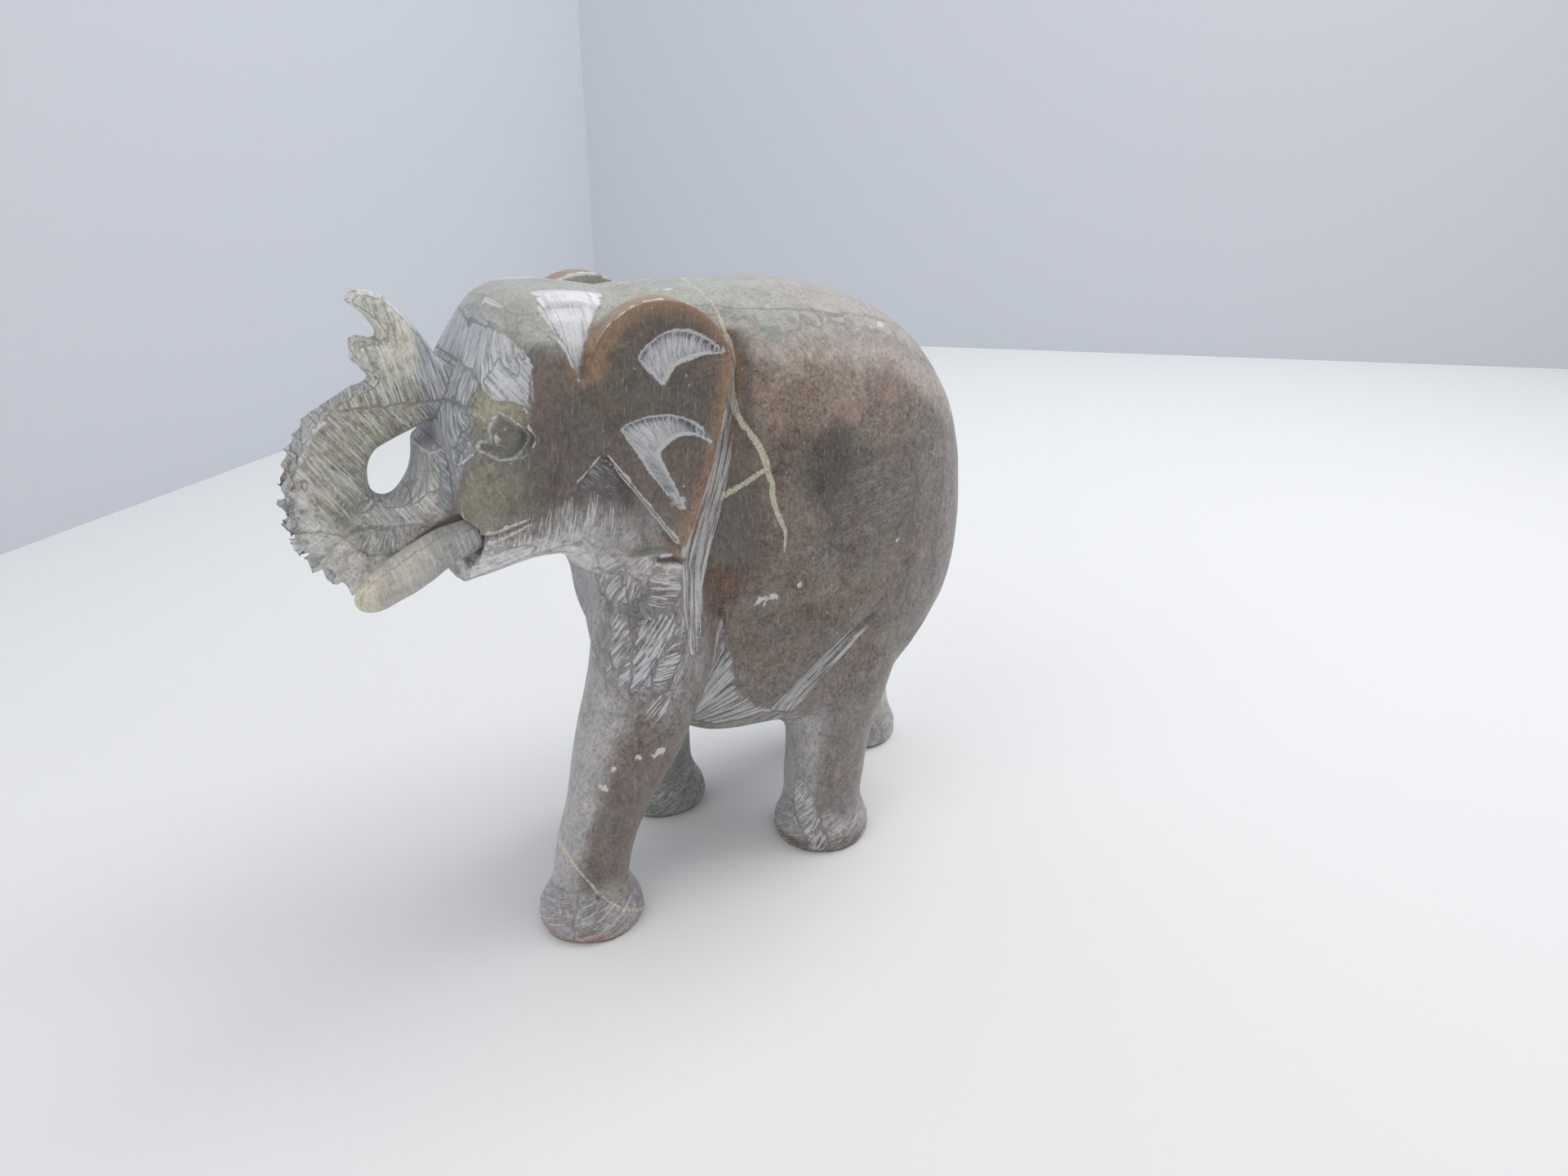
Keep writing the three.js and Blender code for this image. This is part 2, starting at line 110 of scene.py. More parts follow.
def lumps(points, size, seed):
    """smooth random heights from -1 to 1, with bumps about size apart"""
    lattice = np.random.default_rng(seed).uniform(-1, 1, (32, 32, 32))
    cell = points / size
    base = np.floor(cell).astype(int)
    share = cell - base
    share = share * share * (3 - 2 * share)
    total = np.zeros(len(points))
    for corner in itertools.product((0, 1), repeat=3):
        weight = np.prod(np.where(np.array(corner) == 1, share, 1 - share), axis=1)
        at = (base + corner) % 32
        total += weight * lattice[at[:, 0], at[:, 1], at[:, 2]]
    return total


def bend(start, *runs):
    """points along a drawn line: two numbers run straight, four give a bend and its end"""
    line = [np.array(start, float)]
    for run in runs:
        first = line[-1]
        if len(run) == 2:
            line.append(np.array(run, float))
            continue
        pull, end = np.array(run[:2], float), np.array(run[2:], float)
        for t in np.arange(1, BEND_STEPS + 1) / BEND_STEPS:
            line.append((1 - t) ** 2 * first + 2 * t * (1 - t) * pull + t * t * end)
    return np.array(line)


def along_line(place, line):
    """for each place: its distance from a line, how far along it lies, and which side (signed)"""
    line = np.array(line, float)
    best = np.full(len(place), np.inf)
    travel, across = np.zeros((2, len(place)))
    done = 0.0
    for first, second in zip(line[:-1], line[1:]):
        step = second - first
        length = max(np.hypot(*step), 1e-9)     # a closed outline may repeat a point
        unit = step / length
        offset = place - first
        t = np.clip(offset @ unit, 0, length)
        gap = offset - t[:, None] * unit
        distance = np.hypot(gap[:, 0], gap[:, 1])
        nearer = distance < best
        side = unit[0] * offset[:, 1] - unit[1] * offset[:, 0]
        best = np.where(nearer, distance, best)
        travel = np.where(nearer, done + t, travel)
        across = np.where(nearer, side, across)
        done += length
    return best, travel, across


def inside(place, outline):
    """True where a place lies inside a closed outline"""
    result = np.zeros(len(place), bool)
    y, z = place[:, 0], place[:, 1]
    for (y0, z0), (y1, z1) in zip(outline, np.roll(outline, -1, axis=0)):
        if z0 == z1:
            continue
        crosses = (z0 > z) != (z1 > z)
        result ^= crosses & (y < (y1 - y0) * (z - z0) / (z1 - z0) + y0)
    return result


def depth_inside(place, outline):
    """distance inside a closed outline, negative outside it"""
    distance, _, _ = along_line(place, np.vstack([outline, outline[:1]]))
    return np.where(inside(place, outline), distance, -distance)


def blot(place, centre, radii, turn=0.0, soft=0.45):
    """1 in the middle of an oval spot, easing to 0 past its rim"""
    c, s = math.cos(math.radians(turn)), math.sin(math.radians(turn))
    dy, dz = place[:, 0] - centre[0], place[:, 1] - centre[1]
    reach = np.hypot((c * dy + s * dz) / radii[0], (c * dz - s * dy) / radii[1])
    return ramp(1 + soft, 1 - soft, reach)


def linear(colour):
    """a colour given as 0 to 255 on screen, as the light values that shaders use"""
    share = np.array(colour, float) / 255
    return np.where(share <= 0.04045, share / 12.92, ((share + 0.055) / 1.055) ** 2.4)


def ear_outline(start, *runs):
    """a line drawn in ear radii from the ear's centre"""
    return np.array(EAR_CENTRE) + EAR_RADIUS * bend(start, *runs)


UPPER_CRESCENT = ear_outline((-0.27, 0.29), (0.18, 0.85, 0.82, 0.27), (0.46, 0.34, 0.11, 0.14),
                             (0.01, -0.05))
LOWER_CRESCENT = ear_outline((-0.54, -0.59), (0.18, -0.31, 0.64, -0.88),
                             (0.2, -0.54, -0.13, -0.98), (-0.02, -1.22, 0.2, -1.77),
                             (-0.18, -1.23, -0.54, -0.59))
EAR_BLADE = ear_outline((0.26, -2.45), (0.85, -1.22, 0.99, -0.1), (0, 0), (-0.83, -0.93),
                        (0.12, -2.38))
EAR_REAR_EDGE = ear_outline((-0.97, 0.25), (-0.72, 1.0, 0, 1.0), (0.98, 0.98, 0.99, -0.1),
                            (0.85, -1.22, 0.26, -2.45))
EYE_OUTLINE = np.array(EYE_CENTRE) + EYE_HALF * bend(
    (1.2, -0.1), (0.2, 1.1, -0.3, 1.3), (-0.9, 0.9, -0.9, -0.1), (-2.4, -0.1),
    (-1.3, -0.6, -0.8, -0.95), (0.4, -1.7, 1.2, -0.1))
FOREHEAD_PATCH = np.array([(-38.6, 123), (-35, 123.4), (-31.8, 118), (-32.4, 110), (-38.5, 113.2),
                           (-40.6, 118)])
NOTCH_LEFT = [(-23, 112.2), (-24.6, 118.5), (-26.6, 123.5), (-28, 129.5)]


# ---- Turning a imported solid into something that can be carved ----

def linked(name, data):
    """a new object in the scene"""
    made = bpy.data.objects.new(name, data)
    bpy.context.scene.collection.objects.link(made)
    return made


def applied(piece, **modifiers):
    """puts one modifier after another on a piece and keeps what they make"""
    for kind, settings in modifiers.items():
        modifier = piece.modifiers.new(kind.lower(), kind)
        for name, value in settings.items():
            setattr(modifier, name, value)
        graph = bpy.context.evaluated_depsgraph_get()
        made = bpy.data.meshes.new_from_object(piece.evaluated_get(graph))
        piece.modifiers.clear()
        old, piece.data = piece.data, made
        bpy.data.meshes.remove(old)


def rough_block(node, name, grain):
    """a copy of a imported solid, joined up and given an even skin of small faces"""
    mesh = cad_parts[node].data.copy()
    mesh.materials.clear()
    bm = bmesh.new()
    bm.from_mesh(mesh)
    bmesh.ops.remove_doubles(bm, verts=bm.verts, dist=0.002 * MM)
    bmesh.ops.recalc_face_normals(bm, faces=bm.faces)
    bm.to_mesh(mesh)
    bm.free()
    piece = linked(name, mesh)
    applied(piece, REMESH={"mode": "VOXEL", "voxel_size": grain * MM})
    return piece


def read(items, name, kind, width):
    values = np.empty(len(items) * width, kind)
    items.foreach_get(name, values)
    return values.reshape(-1, width)


def read_points(piece):
    return read(piece.data.vertices, "co", np.float32, 3).astype(float) / MM


def write_points(piece, points):
    piece.data.vertices.foreach_set("co", (points * MM).astype(np.float32).ravel())
    piece.data.update()


def read_edges(piece):
    return read(piece.data.edges, "vertices", np.int32, 2)


def read_normals(piece):
    return read(piece.data.vertex_normals, "vector", np.float32, 3).astype(float)


def relax(points, edges, share, passes):
    """draws each point towards the middle of its neighbours, as sanding does"""
    count = len(points)
    neighbours = np.maximum(np.bincount(edges.ravel(), minlength=count), 1)
    points = points.copy()
    share = np.broadcast_to(share, count)
    for _ in range(passes):
        for axis in range(3):
            value = points[:, axis]
            total = (np.bincount(edges[:, 0], value[edges[:, 1]], count)
                     + np.bincount(edges[:, 1], value[edges[:, 0]], count))
            points[:, axis] = value + share * (total / neighbours - value)
    return points


# ---- Carving the stone ----

def sand_the_joins(points, edges):
    """the body and legs run softly into each other; the head, ears and trunk stay crisp"""
    y, z = points[:, 1], points[:, 2]
    head = ramp(13, 7, y) * ramp(70, 76, z)
    foot = ramp(22, 12, z)
    shoulder = ramp(96, 106, z) * ramp(60, 50, y)
    temple = blot(points[:, 1:], (-30, 121), (6, 6)) * ramp(-26.5, -28, y)
    softness = (1 - head) * (1 - 0.88 * foot) * (1 - 0.75 * shoulder)
    trunk_join = blot(points[:, 1:], (-56, 111.5), (12, 2.2), -4)
    softness = np.maximum(softness, np.maximum(0.5 * temple, 0.7 * trunk_join))
    points = relax(points, edges, 0.65 * softness, 110)
    return relax(points, edges, 0.5, 2)


def groove(place, line, widths, depth, ribs=0.0, pitch=1.1):
    """a cut that follows a line; widths are half widths from its start to its end"""
    distance, travel, across = along_line(place, line)
    length = sum(math.dist(a, b) for a, b in zip(line[:-1], line[1:]))
    half = np.interp(travel / length, np.linspace(0, 1, len(widths)), widths)
    profile = ramp(1, 0.15, distance / half)
    ends = ramp(0, 0.06 * length, travel) * ramp(length, 0.94 * length, travel)
    ribbing = ribs * np.cos(2 * math.pi * across / pitch + 0.7 * np.sin(travel / 5))
    return profile * ends * (depth + ribbing)


def ear_step(place):
    """the hollow under the ear's straight front edge, deepest against the edge"""
    corner, tip = np.array(STEP_CORNER), np.array(EAR_TIP)
    run = (tip - corner) / np.hypot(*(tip - corner))
    below = (place - corner) @ np.array([run[1], -run[0]])
    brow = np.array([-0.73, -0.68])
    under = (place - corner) @ np.array([-brow[1], brow[0]])
    travel = (place - corner) @ run
    edge = ramp(-0.1, 0.5, below) * ramp(-0.2, 0.8, under)
    ends = ramp(-2, 0.5, travel) * ramp(25, 22, travel)
    fading = ramp(11, 2, (place - corner) @ brow)
    return edge * ends * fading * ramp(9, 0, np.minimum(below, 1.4 * under))


def notch_area(place):
    """the V between the temple lobe and the ear, open towards the crown"""
    off_ear = np.hypot(*(place - EAR_CENTRE).T) - EAR_RADIUS
    _, _, behind = along_line(place, NOTCH_LEFT)
    y, z = place.T
    return ramp(0, 0.4, off_ear) * ramp(0, 0.4, -behind) * ramp(112.2, 113, z) * ramp(-9, -11.5, y)


def carve_side_features(points, normals):
    """how deep to cut, on the two sides of the head and body"""
    place = points[:, 1:]
    y, z = place.T
    facing = ramp(0.3, 0.65, np.abs(normals[:, 0])) * ramp(8, 11, np.abs(points[:, 0]))
    cut = 1.15 * ear_step(place)
    facet = np.where(y > NOTCH_TIP[0] + 0.25 * (z - NOTCH_TIP[1]), 0.55, 0.8)
    cut += facet * notch_area(place)
    cut += groove(place, CHANNEL, (0.9, 1.9, 2.6, 3.2, 3.6, 3.2, 1.4), 0.85, ribs=0.2)
    cut += groove(place, THIGH_GROOVE, (0.8, 2, 2.8, 3.4), 0.95, ribs=0.1)
    cut += groove(place, ELBOW_GROOVE, (0.8, 2, 3, 3.2), 0.8, ribs=0.1, pitch=0.9)
    cut += groove(place, LIP_LINE, (0.7, 0.7, 0.3), 0.55)
    cut += groove(place, EAR_CRACK, (0.5, 0.7, 0.5), 0.9)
    cut += 0.45 * ramp(-0.2, 0.9, depth_inside(place, FOREHEAD_PATCH))
    cut += groove(place, BROW_GROOVE, (2.5, 3, 2, 1), 0.8)
    cut -= 0.12 * ramp(0.1, 0.8, depth_inside(place, EYE_OUTLINE))
    return cut * facing


def carve_waviness(points):
    """what a hand and a rasp leave on every surface, always inwards"""
    y, z = points[:, 1], points[:, 2]
    calm = ramp(0.4, 3, z)
    wave = 0.2 * (lumps(points, 9, 3) - 1) + 0.07 * (lumps(points, 3.2, 4) - 1)
    rim = np.hypot(y - LOOP_CENTRE[0], z - LOOP_CENTRE[1])
    teeth = ramp(15, 18, rim) * ramp(-52, -56, y) * ramp(127, 121, z)
    knobs = np.sqrt(np.abs(lumps(points, 3.1, 5)))
    wave += teeth * 1.3 * (knobs - 1)
    foot_rim = ramp(4.5, 1.5, z)
    wave += foot_rim * 0.3 * (lumps(points, 3.2, 6) - 1)
    return -wave * np.maximum(calm, 0.4 * foot_rim)


def carved_stone():
    piece = rough_block("carved_elephant", "carved_stone_elephant", STONE_GRAIN)
    edges = read_edges(piece)
    points = sand_the_joins(read_points(piece), edges)
    write_points(piece, points)
    normals = read_normals(piece)
    cut = carve_side_features(points, normals) + carve_waviness(points)
    points = points - normals * cut[:, None]
    points = relax(points, edges, 0.25, 1)
    points[points[:, 2] < SOLE_RISE, 2] = 0
    write_points(piece, points)
    thin_out(piece, points)
    return piece


def thin_out(piece, points):
    """fewer faces where the stone is plain, a few fewer on the head, and none fewer on veins"""
    _, y, z = points.T
    detailed = (y < 8.5) & (z > 75)
    for line, reach in ((CHANNEL, 4.5), (THIGH_GROOVE, 4)):
        detailed |= along_line(points[:, 1:], line)[0] < reach
    veined = np.zeros(len(points), bool)
    for line in (VEIN, VEIN_BRANCH, ANKLE_VEIN):
        veined |= along_line(points[:, 1:], line)[0] < 2.6
    for name, chosen in (("plain", ~detailed & ~veined), ("detailed", detailed & ~veined)):
        group = piece.vertex_groups.new(name=name)
        group.add(np.flatnonzero(chosen).tolist(), 1, "REPLACE")
    for name, ratio in FACES_KEPT.items():
        applied(piece, DECIMATE={"decimate_type": "COLLAPSE", "ratio": ratio, "vertex_group": name})
    piece.vertex_groups.clear()


def carved_tusk(side):
    piece = rough_block("tusk_" + side, "stone_tusk_" + side, TUSK_GRAIN)
    points, edges = read_points(piece), read_edges(piece)
    points = relax(points, edges, 0.5, 4)
    write_points(piece, points)
    normals = read_normals(piece)
    seed = 21 if side == "left" else 22
    cut = 0.26 * (1 - lumps(points, 4.4, seed)) + 0.1 * (1 - lumps(points, 1.8, seed + 4))
    write_points(piece, points - normals * cut[:, None])
    return piece


# ---- Laying on the colours ----

def put(piece, name, kind, values):
    attribute = piece.data.attributes.new(name, kind, "POINT")
    key = {"FLOAT": "value", "FLOAT_VECTOR": "vector", "FLOAT_COLOR": "color"}[kind]
    attribute.data.foreach_set(key, np.asarray(values, np.float32).ravel())


class Tones:
    """the colour of every point, laid on in thin washes, and how mottled the stone is there"""

    def __init__(self, count, colour, mottled=1.0):
        self.values = np.tile([*linear(colour), mottled], (count, 1))

    def wash(self, colour, share, mottled=None):
        share = np.clip(share, 0, 1)[:, None]
        self.values[:, :3] = self.values[:, :3] * (1 - share) + linear(colour) * share
        if mottled is not None:
            self.values[:, 3:] = self.values[:, 3:] * (1 - share) + mottled * share


class Strokes:
    """where tools ran over the stone: how hard, and which way"""

    def __init__(self, points, normals):
        self.points = points
        self.cut = np.zeros(len(points))
        self.place = np.zeros((len(points), 3))
        flat = np.abs(normals[:, 0:1]) >= np.abs(normals[:, 1:2])
        top = np.abs(normals[:, 2:3]) > 0.75
        upright = np.where(flat, points[:, [1, 2]], points[:, [0, 2]])
        self.spread = np.where(top, points[:, [1, 0]], upright)

    def lay(self, mask, strength, across, along, cross=0.0, fineness=1.0, long=1.0):
        wins = mask * strength > self.cut
        self.cut = np.where(wins, mask * strength, self.cut)
        along = along * fineness / long
        place = np.stack([across * fineness, along, np.full(len(across), cross)], 1)
        self.place = np.where(wins[:, None], place, self.place)

    def straight(self, mask, strength, degrees, **style):
        """strokes side by side at one angle"""
        c, s = math.cos(math.radians(degrees)), math.sin(math.radians(degrees))
        u, v = self.spread.T
        self.lay(mask, strength, c * v - s * u, c * u + s * v, **style)

    def fan(self, mask, strength, centre, reach, **style):
        """strokes that run straight out from a centre, evenly spaced at a distance of reach"""
        dy, dz = self.points[:, 1] - centre[0], self.points[:, 2] - centre[1]
        self.lay(mask, strength, np.arctan2(dz, dy) * reach, np.hypot(dy, dz), **style)

    def follow(self, mask, strength, line, **style):
        """long strokes that run with a drawn line"""
        _, travel, across = along_line(self.points[:, 1:], line)
        self.lay(mask, strength, across, travel, long=2.5, **style)


class Skin:
    """the surface of a carved piece, as its painter sees it"""

    def __init__(self, piece):
        self.points, self.normals = read_points(piece), read_normals(piece)
        self.edges = read_edges(piece)
        self.x, self.y, self.z = self.points.T
        self.place = self.points[:, 1:]

    def bulge(self, passes):
        """how far each point stands out from what is round it"""
        smooth = relax(self.points, self.edges, 0.6, passes)
        return np.einsum("ij,ij->i", self.points - smooth, self.normals)


def stone_skin(piece):
    """the elephant's skin; its loose places stray a little, so no colour ends in a true line"""
    skin = Skin(piece)
    points = skin.points
    broad = np.stack([lumps(points, 8, 31), lumps(points, 8, 32)], 1)
    fine = np.stack([lumps(points, 2.5, 33), lumps(points, 2.5, 34)], 1)
    skin.wander = 2.2 * broad + 0.7 * fine
    skin.loose = skin.place + skin.wander
    skin.ly, skin.lz = skin.loose.T
    skin.left = skin.x > 0
    skin.nx, skin.ny, skin.nz = np.abs(skin.normals[:, 0]), skin.normals[:, 1], skin.normals[:, 2]
    skin.sideways = ramp(0.3, 0.7, skin.nx)
    skin.head = ramp(12, 8, skin.y) * ramp(72, 76, skin.z)
    skin.trunk = ramp(-46, -48.5, skin.y) * ramp(74, 77, skin.z)
    return skin


def paint_flank(skin, wash):
    for colour, centre, radii, turn, share in (
        ((147, 131, 119), (20, 107), (18, 7), -8, 0.8),
        ((138, 125, 117), (38, 103), (10, 8), 0, 0.7),
        ((110, 92, 82), (15, 95), (4, 9), 0, 0.6),
        ((72, 71, 64), (25, 94), (6.5, 8.5), 15, 0.8),
        ((84, 83, 76), (26, 86), (6, 4), -20, 0.65),
        ((106, 101, 95), (33, 82), (12, 8), 30, 0.55),
        ((92, 70, 56), (4, 74), (5, 6.5), 0, 0.8),
        ((98, 78, 66), (8, 81), (4, 7), 20, 0.6),
        ((92, 74, 64), (21, 62), (5, 3), 0, 0.7),
        ((104, 100, 94), (17, 58), (7, 5), 0, 0.5),
        ((113, 98, 86), (0, 55), (5, 7), 60, 0.5),
    ):
        wash(colour, share * blot(skin.loose, centre, radii, turn) * skin.sideways)
    wash((126, 117, 112), 0.7 * ramp(52, 42, skin.lz) * ramp(2, 8, skin.ly))
    wash((130, 124, 122), 0.8 * ramp(44, 56, skin.ly))
    wash((86, 80, 80), 0.7 * ramp(56, 66, skin.ly) * ramp(112, 104, skin.lz))


def paint_back(skin, wash):
    ly, nz = skin.ly, skin.nz
    rise = skin.z - np.interp(skin.y, *np.array(SHOULDER_LINE).T)
    speckled = rise + 1.2 * skin.wander[:, 1] + 1.6 * lumps(skin.points, 1.6, 35)
    skin.top = ramp(-0.6, 3.4, speckled) * ramp(0.08, 0.45, nz)
    # painted highlight: a pale band just under the shoulder line stands in for light along the
    # shoulder ridge
    shoulder = ramp(-7, 1.2, speckled) * ramp(-0.2, 0.2, nz)
    wash((190, 181, 172), 0.85 * shoulder, mottled=0.5)
    wash((168, 165, 159), skin.top, mottled=0.5)
    wash((166, 160, 155), 0.8 * skin.top * ramp(18, 40, ly))
    wash((152, 145, 143), 0.8 * skin.top * ramp(46, 62, ly))


def paint_legs(skin, wash):
    """the legs, with the chest and the underside; the underside, the far legs and the faces that
    look forward get painted light
    """
    y, z, loose, sideways, left = skin.y, skin.z, skin.loose, skin.sideways, skin.left
    low = ramp(44, 36, z)
    skin.front_leg = low * ramp(16, 8, y)
    wash((117, 108, 103), 0.75 * low, mottled=0.6)
    wash((138, 133, 130), 0.6 * low * ramp(14, 20, y))
    wash((112, 103, 98), 0.6 * blot(loose, (-18, 34), (7, 8)) * sideways)
    # painted light: faces that look forward are lightened, standing in for a light rim along the
    # front of the legs and chest
    skin.forward = ramp(-0.5, -0.85, skin.ny) * ramp(84, 76, z)
    wash((188, 188, 190), 0.65 * skin.forward, mottled=0.6)
    skin.chest = blot(loose, (-14, 62), (9, 18), 12) * ramp(14, 6, y) * ramp(84, 78, z)
    wash((140, 137, 140), 0.8 * skin.chest)
    # painted light: the belly's downward faces are lightened to stand in for light bounced up from
    # the floor
    painted_underside_light = ramp(-0.4, -0.8, skin.nz) * ramp(18, 24, z) * ramp(60, 50, z)
    wash((152, 149, 147), 0.7 * painted_underside_light)
    right = ramp(-2, -6, skin.x)
    skin.far_front = low * right * ramp(28, 22, y)
    far_rear = ramp(48, 26, skin.lz) * right * ramp(40, 46, y)
    # painted light: the far legs, which stand in shade, are lightened to make up for it
    wash((140, 144, 141), 0.9 * skin.far_front)
    wash((184, 185, 177), 0.9 * far_rear)
    wash((98, 75, 62), 0.85 * blot(loose, (2, 70), (4.5, 8)) * sideways)
    skin.foot = ramp(13, 7, skin.lz)
    wash((154, 150, 154), 0.75 * skin.foot * (1 - skin.far_front))
    ragged = z + 0.5 * skin.wander[:, 0]
    wash((150, 116, 98), 0.75 * ramp(2.8, 0.9, ragged) * left * skin.front_leg)
    wash((106, 84, 74), 0.85 * ramp(4.6, 2.2, ragged) * left * ramp(14, 20, y))


def paint_head(skin, wash):
    """from the cheek outwards; the tone of the crown runs on over the shoulders"""
    loose, ly, lz, nz, head = skin.loose, skin.ly, skin.lz, skin.nz, skin.head
    wash((100, 92, 86), head, mottled=0.7)
    wash((138, 134, 119), 0.95 * head * ramp(-31, -41, ly))
    wash((166, 164, 142), 0.8 * head * blot(loose, (-38, 110.5), (4, 3)))
    wash((136, 132, 118), 0.6 * head * blot(loose, (-43, 96), (5, 4)))
    # painted light: the jaw and the underside of the head are lightened to stand in for light
    # reaching them from below
    wash((182, 179, 178), 0.85 * head * ramp(93, 85, lz) * ramp(-3, -8, ly))
    wash((218, 217, 216), 0.85 * head * ramp(-0.2, -0.7, nz) * ramp(94, 86, skin.z))
    wash((117, 106, 98), 0.8 * head * blot(loose, TEMPLE_CENTRE, (6, 7)))
    crown = head * np.maximum(ramp(119.5, 123.5, lz), ramp(0.45, 0.75, nz))
    crown = np.maximum(crown, skin.top * ramp(30, 8, ly))
    wash((164, 167, 160), crown, mottled=0.45)
    wash((184, 188, 186), 0.9 * head * ramp(-32.5, -35, ly) * ramp(112, 117, lz))


def paint_ears(skin, wash):
    place, off_middle, high_up = skin.place, np.abs(skin.x), ramp(75, 78, skin.z)
    skin.ear_zone = ramp(14.5, 16, off_middle) * high_up
    skin.ear_face = ramp(16, 17.5, off_middle) * skin.sideways * high_up
    from_centre = np.hypot(*(place - EAR_CENTRE).T)
    skin.round_ear = skin.ear_face * ramp(EAR_RADIUS + 0.3, EAR_RADIUS - 0.3, from_centre)
    wash((98, 90, 83), skin.round_ear)
    blade = ramp(-0.4, 0.3, depth_inside(place, EAR_BLADE)) * ramp(104, 92, skin.lz)
    wash((110, 97, 88), 0.9 * skin.ear_face * blade)
    skin.to_rim, _, _ = along_line(place, EAR_REAR_EDGE)
    rim = ramp(4.4, 1.2, skin.to_rim + 0.3 * skin.wander[:, 0])
    wash((150, 121, 95), 0.85 * skin.ear_zone * rim)


def paint_notch(skin, wash):
    notch = notch_area(skin.place) * skin.head
    notch = notch * ramp(0, 0.1, skin.nx) * ramp(5, 9, np.abs(skin.x))
    wash((230, 231, 234), notch, mottled=0.3)
    fold = NOTCH_TIP[0] + 1.2 + 0.1 * (skin.z - NOTCH_TIP[1])
    rear_facet = notch * (1 - ramp(0.5, -0.5, skin.y - fold))
    wash((206, 209, 217), 0.6 * rear_facet * ramp(124, 116, skin.z))
    skin.notch = notch


def paint_hollows(skin, wash):
    """the two crescents in the ear, with painted shade along their upper edge, and the step under
    the ear
    """
    crescents = (UPPER_CRESCENT, LOWER_CRESCENT)
    skin.hollow_depth = np.maximum(*(depth_inside(skin.place, line) for line in crescents))
    skin.hollow = skin.ear_zone * ramp(-0.6, -0.1, skin.hollow_depth)
    wash((204, 205, 211), skin.hollow, mottled=0.4)
    # painted shade: a darker strip inside each crescent along its upper edge
    upper_edges = [line[:BEND_STEPS + 1] for line in crescents]
    from_edge = np.minimum(*(along_line(skin.place, edge)[0] for edge in upper_edges))
    wash((98, 97, 102), 0.85 * skin.hollow * ramp(1.6, 0.4, from_edge))
    skin.step = ear_step(skin.place) * skin.ear_face
    wash((140, 136, 143), 0.9 * skin.step)


def paint_cuts(skin, wash):
    """the rasped channel behind the ear, and the ones at the thigh, the elbow and the lip, with
    painted light on the lip
    """
    place, loose, sideways = skin.place, skin.loose, skin.sideways
    channel = groove(place, CHANNEL, (1, 2.1, 2.9, 3.5, 3.9, 3.5, 1.6), 1) * sideways
    skin.channel = channel * np.maximum(1 - skin.round_ear, ramp(102, 98, skin.z))
    wash((150, 146, 144), 0.85 * ramp(0.05, 0.6, skin.channel))
    thigh = groove(place, THIGH_GROOVE, (1, 2.4, 3.2, 4.4), 1) * sideways
    wash((146, 144, 146), 0.6 * thigh)
    elbow = ramp(-1, 0.6, depth_inside(loose * 0.4 + place * 0.6, ELBOW_FAN))
    skin.elbow = elbow * ramp(0.1, 0.35, skin.nx)
    wash((146, 144, 145), 0.6 * skin.elbow)
    # painted light: the lip under the trunk is lightened to stand in for light reaching it from
    # below
    wash((232, 231, 230), 0.85 * skin.head * blot(loose, (-40, 82.5), (9, 3.6), 10))


def paint_face(skin, wash):
    inset = depth_inside(skin.place, FOREHEAD_PATCH) + 0.3 * skin.wander[:, 0]
    skin.patch = ramp(-0.4, 0.4, inset) * skin.head
    wash((190, 194, 196), 0.85 * skin.patch)
    forehead = ramp(-40.5, -43, skin.ly + 0.35 * (105 - skin.z)) * ramp(88, 91, skin.z)
    skin.front = skin.head * forehead
    wash((143, 149, 156), 0.9 * skin.front, mottled=0.5)
    wash((170, 177, 184), 0.6 * skin.front * ramp(112, 120, skin.lz))


def paint_trunk(skin, wash):
    loose, trunk = skin.loose, skin.trunk
    wash((158, 156, 143), trunk, mottled=0.8)
    wash((196, 197, 196), 0.75 * trunk * blot(loose, (-51, 92), (6, 5)))
    outer = np.hypot(*(skin.place - LOOP_CENTRE).T)
    skin.teeth = trunk * ramp(14.5, 17.5, outer) * ramp(125, 120, skin.z)
    wash((208, 208, 204), 0.85 * skin.teeth, mottled=0.8)
    wash((176, 176, 174), 0.8 * trunk * blot(loose, (-57, 89), (5.5, 5)))
    wash((164, 166, 166), 0.8 * trunk * ramp(0.6, 0.2, skin.nx))
    wash((208, 206, 190), 0.9 * trunk * ramp(113, 119, skin.lz))


def paint_eyes(skin, wash):
    depth = depth_inside(skin.place, EYE_OUTLINE)
    near_eye = skin.head * skin.sideways * (1 - skin.trunk)
    skin.ring = near_eye * ramp(-0.3, 0.05, depth) * ramp(0.65, 0.35, depth)
    wash((112, 110, 100), near_eye * ramp(0.6, 1, depth))
    wash((184, 186, 188), 0.8 * skin.ring)


def paint_veins(skin, wash):
    """where crystal shows; the veins run right through the block, the ankle's only in the left"""
    loose, place = skin.loose, skin.place
    reach, travel, _ = along_line(loose * 0.35 + place * 0.65, VEIN)
    half = np.interp(travel, *np.array(VEIN_HALF_WIDTHS).T)
    vein = ramp(1.35, 0.55, reach / half) * (1 - skin.round_ear) * ramp(-0.3, 0.1, skin.nz + 0.3)
    swayed = loose * 0.3 + place * 0.7
    reach, _, _ = along_line(swayed, VEIN_BRANCH)
    vein = np.maximum(vein, ramp(0.95, 0.35, reach) * skin.sideways)
    reach, _, _ = along_line(swayed, ANKLE_VEIN)
    ankle = ramp(0.7, 0.2, reach) * skin.left * ramp(30, 26, skin.z) * ramp(-5, -10, skin.y)
    stain = blot(loose, (-25, 10.4), (4.5, 1.5)) * skin.left * skin.front_leg
    wash((160, 158, 140), 0.6 * stain)
    return np.maximum(vein, 0.8 * ankle) * (1 - skin.head * ramp(4, 1, skin.y))


